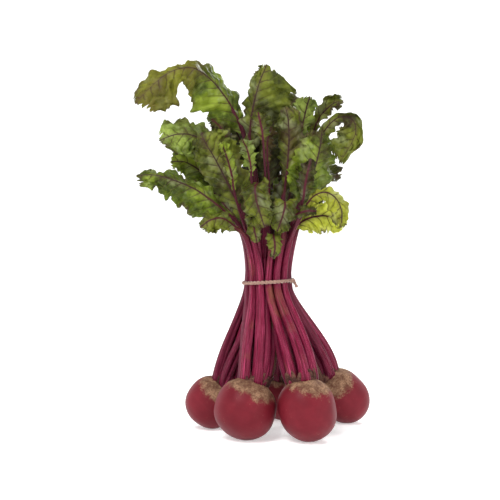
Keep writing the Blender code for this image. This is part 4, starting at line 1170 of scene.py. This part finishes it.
def make_stalk(name, path, radii, blade, skin):
    """A ribbed stalk with a shallow channel, from its crown to its leaf, and on under the leaf as its rib."""
    dice = dice_for(name + "stalk")
    drop = np.interp(np.arange(ROWS), (0, 1, 3, 8, 11), (0.6, 1.2, 1.8, 1.3, 1.0))
    heel = blade[:, COLUMNS // 2] - normals_of(blade)[:, COLUMNS // 2] * drop[:, None]
    reach = 9
    line = np.vstack((path[::4], heel[1:reach]))
    size = np.concatenate((np.array(radii)[::4], np.linspace(2.3, 0.75, reach - 1)))
    size = np.interp(np.linspace(0, 1, STALK_LONG), np.linspace(0, 1, len(size)), size)
    line = cubic(line, STALK_LONG)
    run = run_along(line)
    keep = run >= CROWN_REACH - 1.5
    line, size, run = line[keep], size[keep], run[keep] - run[keep][0]
    start = dice.uniform(0, TURN)
    turn = np.linspace(0, TURN, STALK_ROUND, endpoint=False)
    ribs = 0.075 * np.cos(5 * (turn + start)) + 0.04 * np.cos(9 * (turn - start) + 0.6)
    channel = -0.26 * np.exp(-((((turn - start + math.pi) % TURN - math.pi) / 0.5) ** 2))
    flat = 0.08 * np.cos(2 * (turn - start))
    form = 1.0 + ribs + channel + flat
    swell = [form + 0.10 * math.exp(-r / 8) + 0.03 * math.sin(r / 11 + start) for r in run]
    points, faces = tube(line, size, STALK_ROUND, swell=swell)
    made = add_piece("petiole_" + name, points, faces, "stalk", [skin], "stalk_" + name)
    stalk_values(made, run, STALK_ROUND, dice.random())


def thin_stalk_line(dice, middle, way, out):
    """The line of one thin stalk, from the rim of a crown up through the tie."""
    swing = dice.uniform(-0.7, 0.7)
    towards = out * math.cos(swing) + np.cross(way, out) * math.sin(swing)
    foot = middle + towards * dice.uniform(9, 13.5) - way * 1.5
    up = np.array((0, 0, 1.0))
    rise = unit(way * FOOT_WAY[0] + up * FOOT_WAY[1] + towards * dice.uniform(0.05, 0.45))
    tie = np.array((*(unit(foot[:2]) * dice.uniform(2, 17)), TIE_HEIGHT))
    reach = np.linalg.norm(tie - foot)
    pulls = [reach * pull for pull in LOWER_PULLS]
    line = hermite(foot, rise * pulls[0], tie, up * pulls[1], np.linspace(0, 1, 40))
    line = np.vstack((line, [tie + up * above for above in (6, 12, 18, 24)]))
    sway = np.linspace(0, 1, len(line))[:, None]
    wander = np.sin(sway * dice.uniform(3, 7) + dice.uniform(0, 6)) * np.sin(math.pi * sway)
    return line + wander * dice.normal(0, 1.5, 3)


def add_thin_stalks(skin):
    """Young and withered stalks that fill the fan between two roots' crowns, up into the tie."""
    turn = np.linspace(0, TURN, THIN_ROUND, endpoint=False)
    for n, root in enumerate(ROOT_CIRCLE):
        for step in (1, -1):
            there = ROOT_CIRCLE[(n + step) % len(ROOT_CIRCLE)]
            dice = dice_for(root + there)
            middle, way = (np.array(v) for v in crown_middle(root))
            ahead = np.array(crown_middle(there)[0]) - middle
            out = unit(ahead - ahead.dot(way) * way)
            for k in range(THIN_STALKS):
                line = thin_stalk_line(dice, middle, way, out)
                size = np.linspace(dice.uniform(2.2, 4.2), 1.9, len(line))
                ribs = 1 + 0.12 * np.cos(3 * turn + k)
                points, faces = tube(line, size, THIN_ROUND, swell=[ribs] * len(line))
                name = "thin_stalk%s_%d_%d" % (root[4:], step % 3, k)
                made = add_piece(name, points, faces, "stalk", [skin])
                kind = 1.3 if dice.random() < 0.2 else 0.1 + 0.5 * dice.random()
                stalk_values(made, run_along(line), THIN_ROUND, kind)


def make_young_leaf(name, leaf, skins, skin):
    """A small leaf on a thin stalk of its own, which rises from the tie."""
    blade = blade_surface(leaf, leaf_frames(leaf, ROWS), COLUMNS, 1.0)
    make_leaf("young_" + name, blade, skins)
    base, way = blade[0, COLUMNS // 2], unit(blade[1, COLUMNS // 2] - blade[0, COLUMNS // 2])
    start = np.array((0.4 * base[0], 0.3 * base[1], TIE_HEIGHT + 6))
    reach = np.linalg.norm(base - start)
    line = hermite(start, np.array((0, 0, reach)), base + way * 4, way * reach, np.linspace(0, 1, 40))
    points, faces = tube(line, np.linspace(1.7, 1.1, len(line)), THIN_ROUND)
    made = add_piece("young_stalk_" + name, points, faces, "stalk", [skin])
    stalk_values(made, np.linspace(0, reach, len(line)), THIN_ROUND, 0.3)


# Roots


def cork_share(name, way):
    """How far the cork reaches each way from a root's middle: 1 on it, 0 off it, with a ragged edge."""
    axis, reach = CORK[name]
    own = np.array(root_lean(name) @ Vector((0, 0, 1)))
    turn = np.arctan2(way[:, 1], way[:, 0])
    phase = len(name)
    waves = ((2, 5, phase), (5, 3.2, 2.1 * phase), (11, 2.2, phase))
    ragged = sum(height * np.sin(count * turn + start) for count, height, start in waves)
    from_axis = np.degrees(np.arccos(np.clip(way @ unit(np.array(axis)), -1, 1)))
    from_own = np.degrees(np.arccos(np.clip(way @ own, -1, 1)))
    return 1 / (1 + np.exp((np.minimum(from_axis - reach, from_own - OWN_CORK) - 0.7 * ragged) / 4.5))


def make_root(name, skin):
    """A root's skin: its turned form with soft dents, cork on the crown and the spot it stands on."""
    dice = dice_for(name)
    profile = np.array(root_profile(*ROOTS[name][1:3]))
    inner = np.stack((np.linspace(0, 1, 13)[:-1] * profile[1, 0], np.full(12, profile[0, 1])), axis=1)
    outline = np.vstack((inner, cubic(profile[1:], 96)))
    turn = np.linspace(0, TURN, ROOT_ROUND, endpoint=False)
    dents = [(dice.normal(size=3), dice.uniform(0, 6.28), size) for size in ROOT_DENTS for _ in "ab"]
    lean = np.array(root_lean(name).to_matrix())
    rings, corks = [], []
    for r, z in outline:
        r = max(r, 0.0)
        ring = np.stack((r * np.cos(turn), r * np.sin(turn), np.full(ROOT_ROUND, z)), axis=1)
        way = ring / np.maximum(np.linalg.norm(ring, axis=1, keepdims=True), 1e-6)
        swell = sum(np.sin(2 * way @ (unit(b) * size) + p) / size**1.3 for b, p, size in dents)
        cork = cork_share(name, way @ lean.T)
        relief = np.sin(way @ np.array((31.0, 23, 9))) * np.sin(way @ np.array((-13.0, 29, 37)))
        rings.append(ring + way * (0.4 * swell - 0.35 + cork * (0.22 * relief + 0.1))[:, None])
        corks.append(cork)
    flat = np.concatenate(rings)
    points = flat @ lean.T + np.array(root_middle(name))
    points[:, 2] = np.maximum(points[:, 2], 0.0)
    faces = ring_faces(len(outline), ROOT_ROUND, flip=True)
    made = add_piece("beet" + name[4:], points, faces, "root", [skin], name)
    point_values(made, cork=np.concatenate(corks), level=flat[:, 2])
    merge_points(made)


def merge_points(made):
    """Joins the points that meet at a pole."""
    bm = bmesh.new()
    bm.from_mesh(made.data)
    bmesh.ops.remove_doubles(bm, verts=bm.verts, dist=0.00002)
    bmesh.ops.recalc_face_normals(bm, faces=bm.faces)
    bm.to_mesh(made.data)
    bm.free()


def scale_grid(angle, out, tall, wide, tilt, n):
    """One scale's surface, as rows of points from its base up."""
    grid = np.zeros((SCALE_LONG, SCALE_WIDE, 3))
    for r in range(SCALE_LONG):
        t = r / (SCALE_LONG - 1)
        half = wide * (1 - 0.8 * t**1.6) * (1 + 0.12 * math.sin(9 * t + n))
        lift = tall * t - 1.0
        for c in range(SCALE_WIDE):
            u = 2 * c / (SCALE_WIDE - 1) - 1
            bend = out + lift * tilt - 0.8 * u * u + 0.4 * math.sin(5 * t + n)
            spin = angle + u * half / out
            grid[r, c] = (bend * math.cos(spin), bend * math.sin(spin), lift)
    return grid


def make_scales(name, skin):
    """The dry bases of older leaves, standing round the feet of the stalks on one crown."""
    dice = dice_for(name + "scales")
    middle = np.array(crown_middle(name)[0])
    lean = np.array(root_lean(name).to_matrix())
    scales = []
    for n in range(SCALES):
        angle = TURN * n / SCALES + dice.uniform(-0.1, 0.1)
        out, tall = dice.uniform(10.5, 16.2), dice.uniform(4.0, 13.0)
        wide, tilt = dice.uniform(2.8, 6.0), dice.uniform(-0.15, 0.45)
        grid = scale_grid(angle, out, tall, wide, tilt, n)
        normal = normals_of(grid)
        solid, faces, _ = shell(grid + normal * 0.25, grid - normal * 0.25)
        scales.append((solid @ lean.T + middle, faces))
    add_piece("scales" + name[4:], *joined(scales), "root", [skin])


# Twine


def twist(line, radius, pitch, closed):
    """The two plies of a twine along a line, each as its own line."""
    run = run_along(line)
    whole = run[-1] + (np.linalg.norm(line[0] - line[-1]) if closed else 0)
    turns = max(1, round(whole / pitch))
    ways = np.roll(line, -1, axis=0) - np.roll(line, 1, axis=0) if closed else np.gradient(line, axis=0)
    plies = []
    for start in (0.0, math.pi):
        ply = []
        for p, way, r in zip(line, ways, run):
            way = unit(way)
            up = unit(np.array((0, 0, 1.0)) - way[2] * way + np.array((1e-4, 0, 0)))
            side = np.cross(way, up)
            angle = start + TURN * turns * r / whole
            ply.append(p + radius * (up * math.cos(angle) + side * math.sin(angle)))
        plies.append(np.array(ply))
    return plies


def add_plies(line, closed, meshes, runs, swell=1.0):
    """Adds both plies of a length of twine to the meshes, and how far along they run to runs."""
    for ply in twist(line, TWINE_RADIUS * PLY_OFFSET * swell, PLY_PITCH, closed):
        size = np.full(len(ply), TWINE_RADIUS * PLY_SIZE * swell)
        meshes.append(tube(ply, size, PLY_ROUND, side=(0.1, 0.2, 1.0), closed=closed))
        runs.append(run_along(ply))


def make_tie(stalks, radii, skin):
    """The turn of twine with its knot and two short ends."""
    meshes, runs = [], []
    loop = np.array(twine_loop(stalks, radii))
    loop[:, :2] *= 1 - TWINE_PRESS / np.linalg.norm(loop[:, :2], axis=1, keepdims=True)
    ring = even_path([tuple(p) for p in loop] + [tuple(p) for p in loop[:4]], 300)
    again = int(np.argmin(np.linalg.norm(ring[200:] - loop[0], axis=1))) + 200
    add_plies(ring[:again], True, meshes, runs)
    x, y, z = loop[KNOT_AT]
    middle = np.array((x + 0.8, y - 0.6, z))
    turn = np.linspace(0, TURN, 40, endpoint=False)
    for tilt, size in ((0.5, 2.4), (-0.7, 2.2)):
        wrap = (0.9 * np.sin(turn) + tilt * np.cos(turn), size * np.cos(turn), size * np.sin(turn))
        add_plies(middle + np.stack(wrap, axis=1) * 0.8, True, meshes, runs, 0.75)
    for end, share in zip(KNOT_ENDS, (1.0, 0.45)):
        t = np.linspace(0, share, 18)[:, None]
        line = middle + np.hstack((end[0] * t, end[1] * t, end[2] * t * t))
        add_plies(line, False, meshes, runs, 0.85)
    made = add_piece("tie", *joined(meshes), "twine", [skin], "twine_tie")
    run = np.concatenate(runs)
    turn = np.linspace(0, TURN, PLY_ROUND, endpoint=False)
    point_values(made, run=np.repeat(run, PLY_ROUND))
    point_values(made, turn_cos=np.tile(np.cos(turn), len(run)), turn_sin=np.tile(np.sin(turn), len(run)))


# The studio


def make_stage():
    """A pale floor that rises all round into a pale wall."""
    profile = [(0.5, 0.0), (1.2, 0.0), (2.2, 0.0)]
    profile += [(2.2 + 1.4 * math.sin(a), 1.4 - 1.4 * math.cos(a)) for a in np.linspace(0.1, 1.5, 12)]
    profile += [(3.62, 2.6)]
    turn = [TURN * k / STAGE_ROUND for k in range(STAGE_ROUND)]
    points = [(r * math.cos(a), r * math.sin(a), z) for r, z in profile for a in turn]
    faces = [tuple(range(STAGE_ROUND))] + ring_faces(len(profile), STAGE_ROUND, flip=True)
    s = Skin("backdrop_paint")
    tone = s.noise(s.position(), 3.0, 2.0)
    s.set(Base_Color=s.mix(tone, (0.92, 0.92, 0.92), (0.89, 0.89, 0.89)), Roughness=0.8)
    s.set(Specular_IOR_Level=0.2, Emission_Color=WHITE, Emission_Strength=BACKDROP_GLOW)
    backdrop = add_mesh("backdrop", points, faces, [s.material])


def light_scene():
    """Soft light from a pale world and three square lights."""
    scene = bpy.context.scene
    scene.view_settings.view_transform = "Standard"
    scene.world = bpy.data.worlds.new("studio")
    scene.world.use_nodes = True
    back = scene.world.node_tree.nodes["Background"]
    back.inputs["Color"].default_value = (*WHITE, 1.0)
    back.inputs["Strength"].default_value = WORLD_STRENGTH
    for name, (spot, aim, size, power) in LIGHTS.items():
        data = bpy.data.lights.new(name, "AREA")
        data.shape = "SQUARE"
        data.size, data.energy = size, power
        light = bpy.data.objects.new(name, data)
        light.location = spot
        light.rotation_euler = (Vector((0, 0, aim)) - Vector(spot)).to_track_quat("-Z", "Y").to_euler()
        scene.collection.objects.link(light)


def set_camera():
    """The level view of the photograph."""
    data = bpy.data.cameras.new("camera")
    data.sensor_width = SENSOR_WIDTH
    data.lens = SENSOR_WIDTH * VIEW_DISTANCE / (IMAGE_WIDTH * MM_PER_PIXEL)
    camera = bpy.data.objects.new("camera", data)
    camera.location = (place(*EYE_PIXEL, -VIEW_DISTANCE) + SHIFT) * M
    camera.rotation_euler = (math.pi / 2, 0, 0)
    bpy.context.scene.collection.objects.link(camera)
    bpy.context.scene.camera = camera


stalks = lay_out_stalks()
radii = {n: [stalk_radius(z, p[0, 2], p[-1, 2]) for z in p[:, 2]] for n, p in stalks.items()}
blades = settle_blades(stalks, radii)
SHIFT = find_shift(blades)

set_camera()
light_scene()
make_stage()
skins = {look: [leaf_skin(look, False), leaf_skin(look, True)] for look in GREENS}
stalk_paint, root_paint, scale_paint = stalk_skin(), root_skin(), scale_skin()
for name, path in stalks.items():
    make_stalk(name, path, radii[name], blades[name], stalk_paint)
    make_leaf(name, blades[name], skins[LEAVES[name]["look"]], "leaf_" + name)
add_thin_stalks(stalk_paint)
for name, young in YOUNG_LEAVES.items():
    make_young_leaf(name, young, skins[young["look"]], stalk_paint)
for name in ROOTS:
    make_root(name, root_paint)
    make_scales(name, scale_paint)
make_tie(stalks, radii, twine_skin())
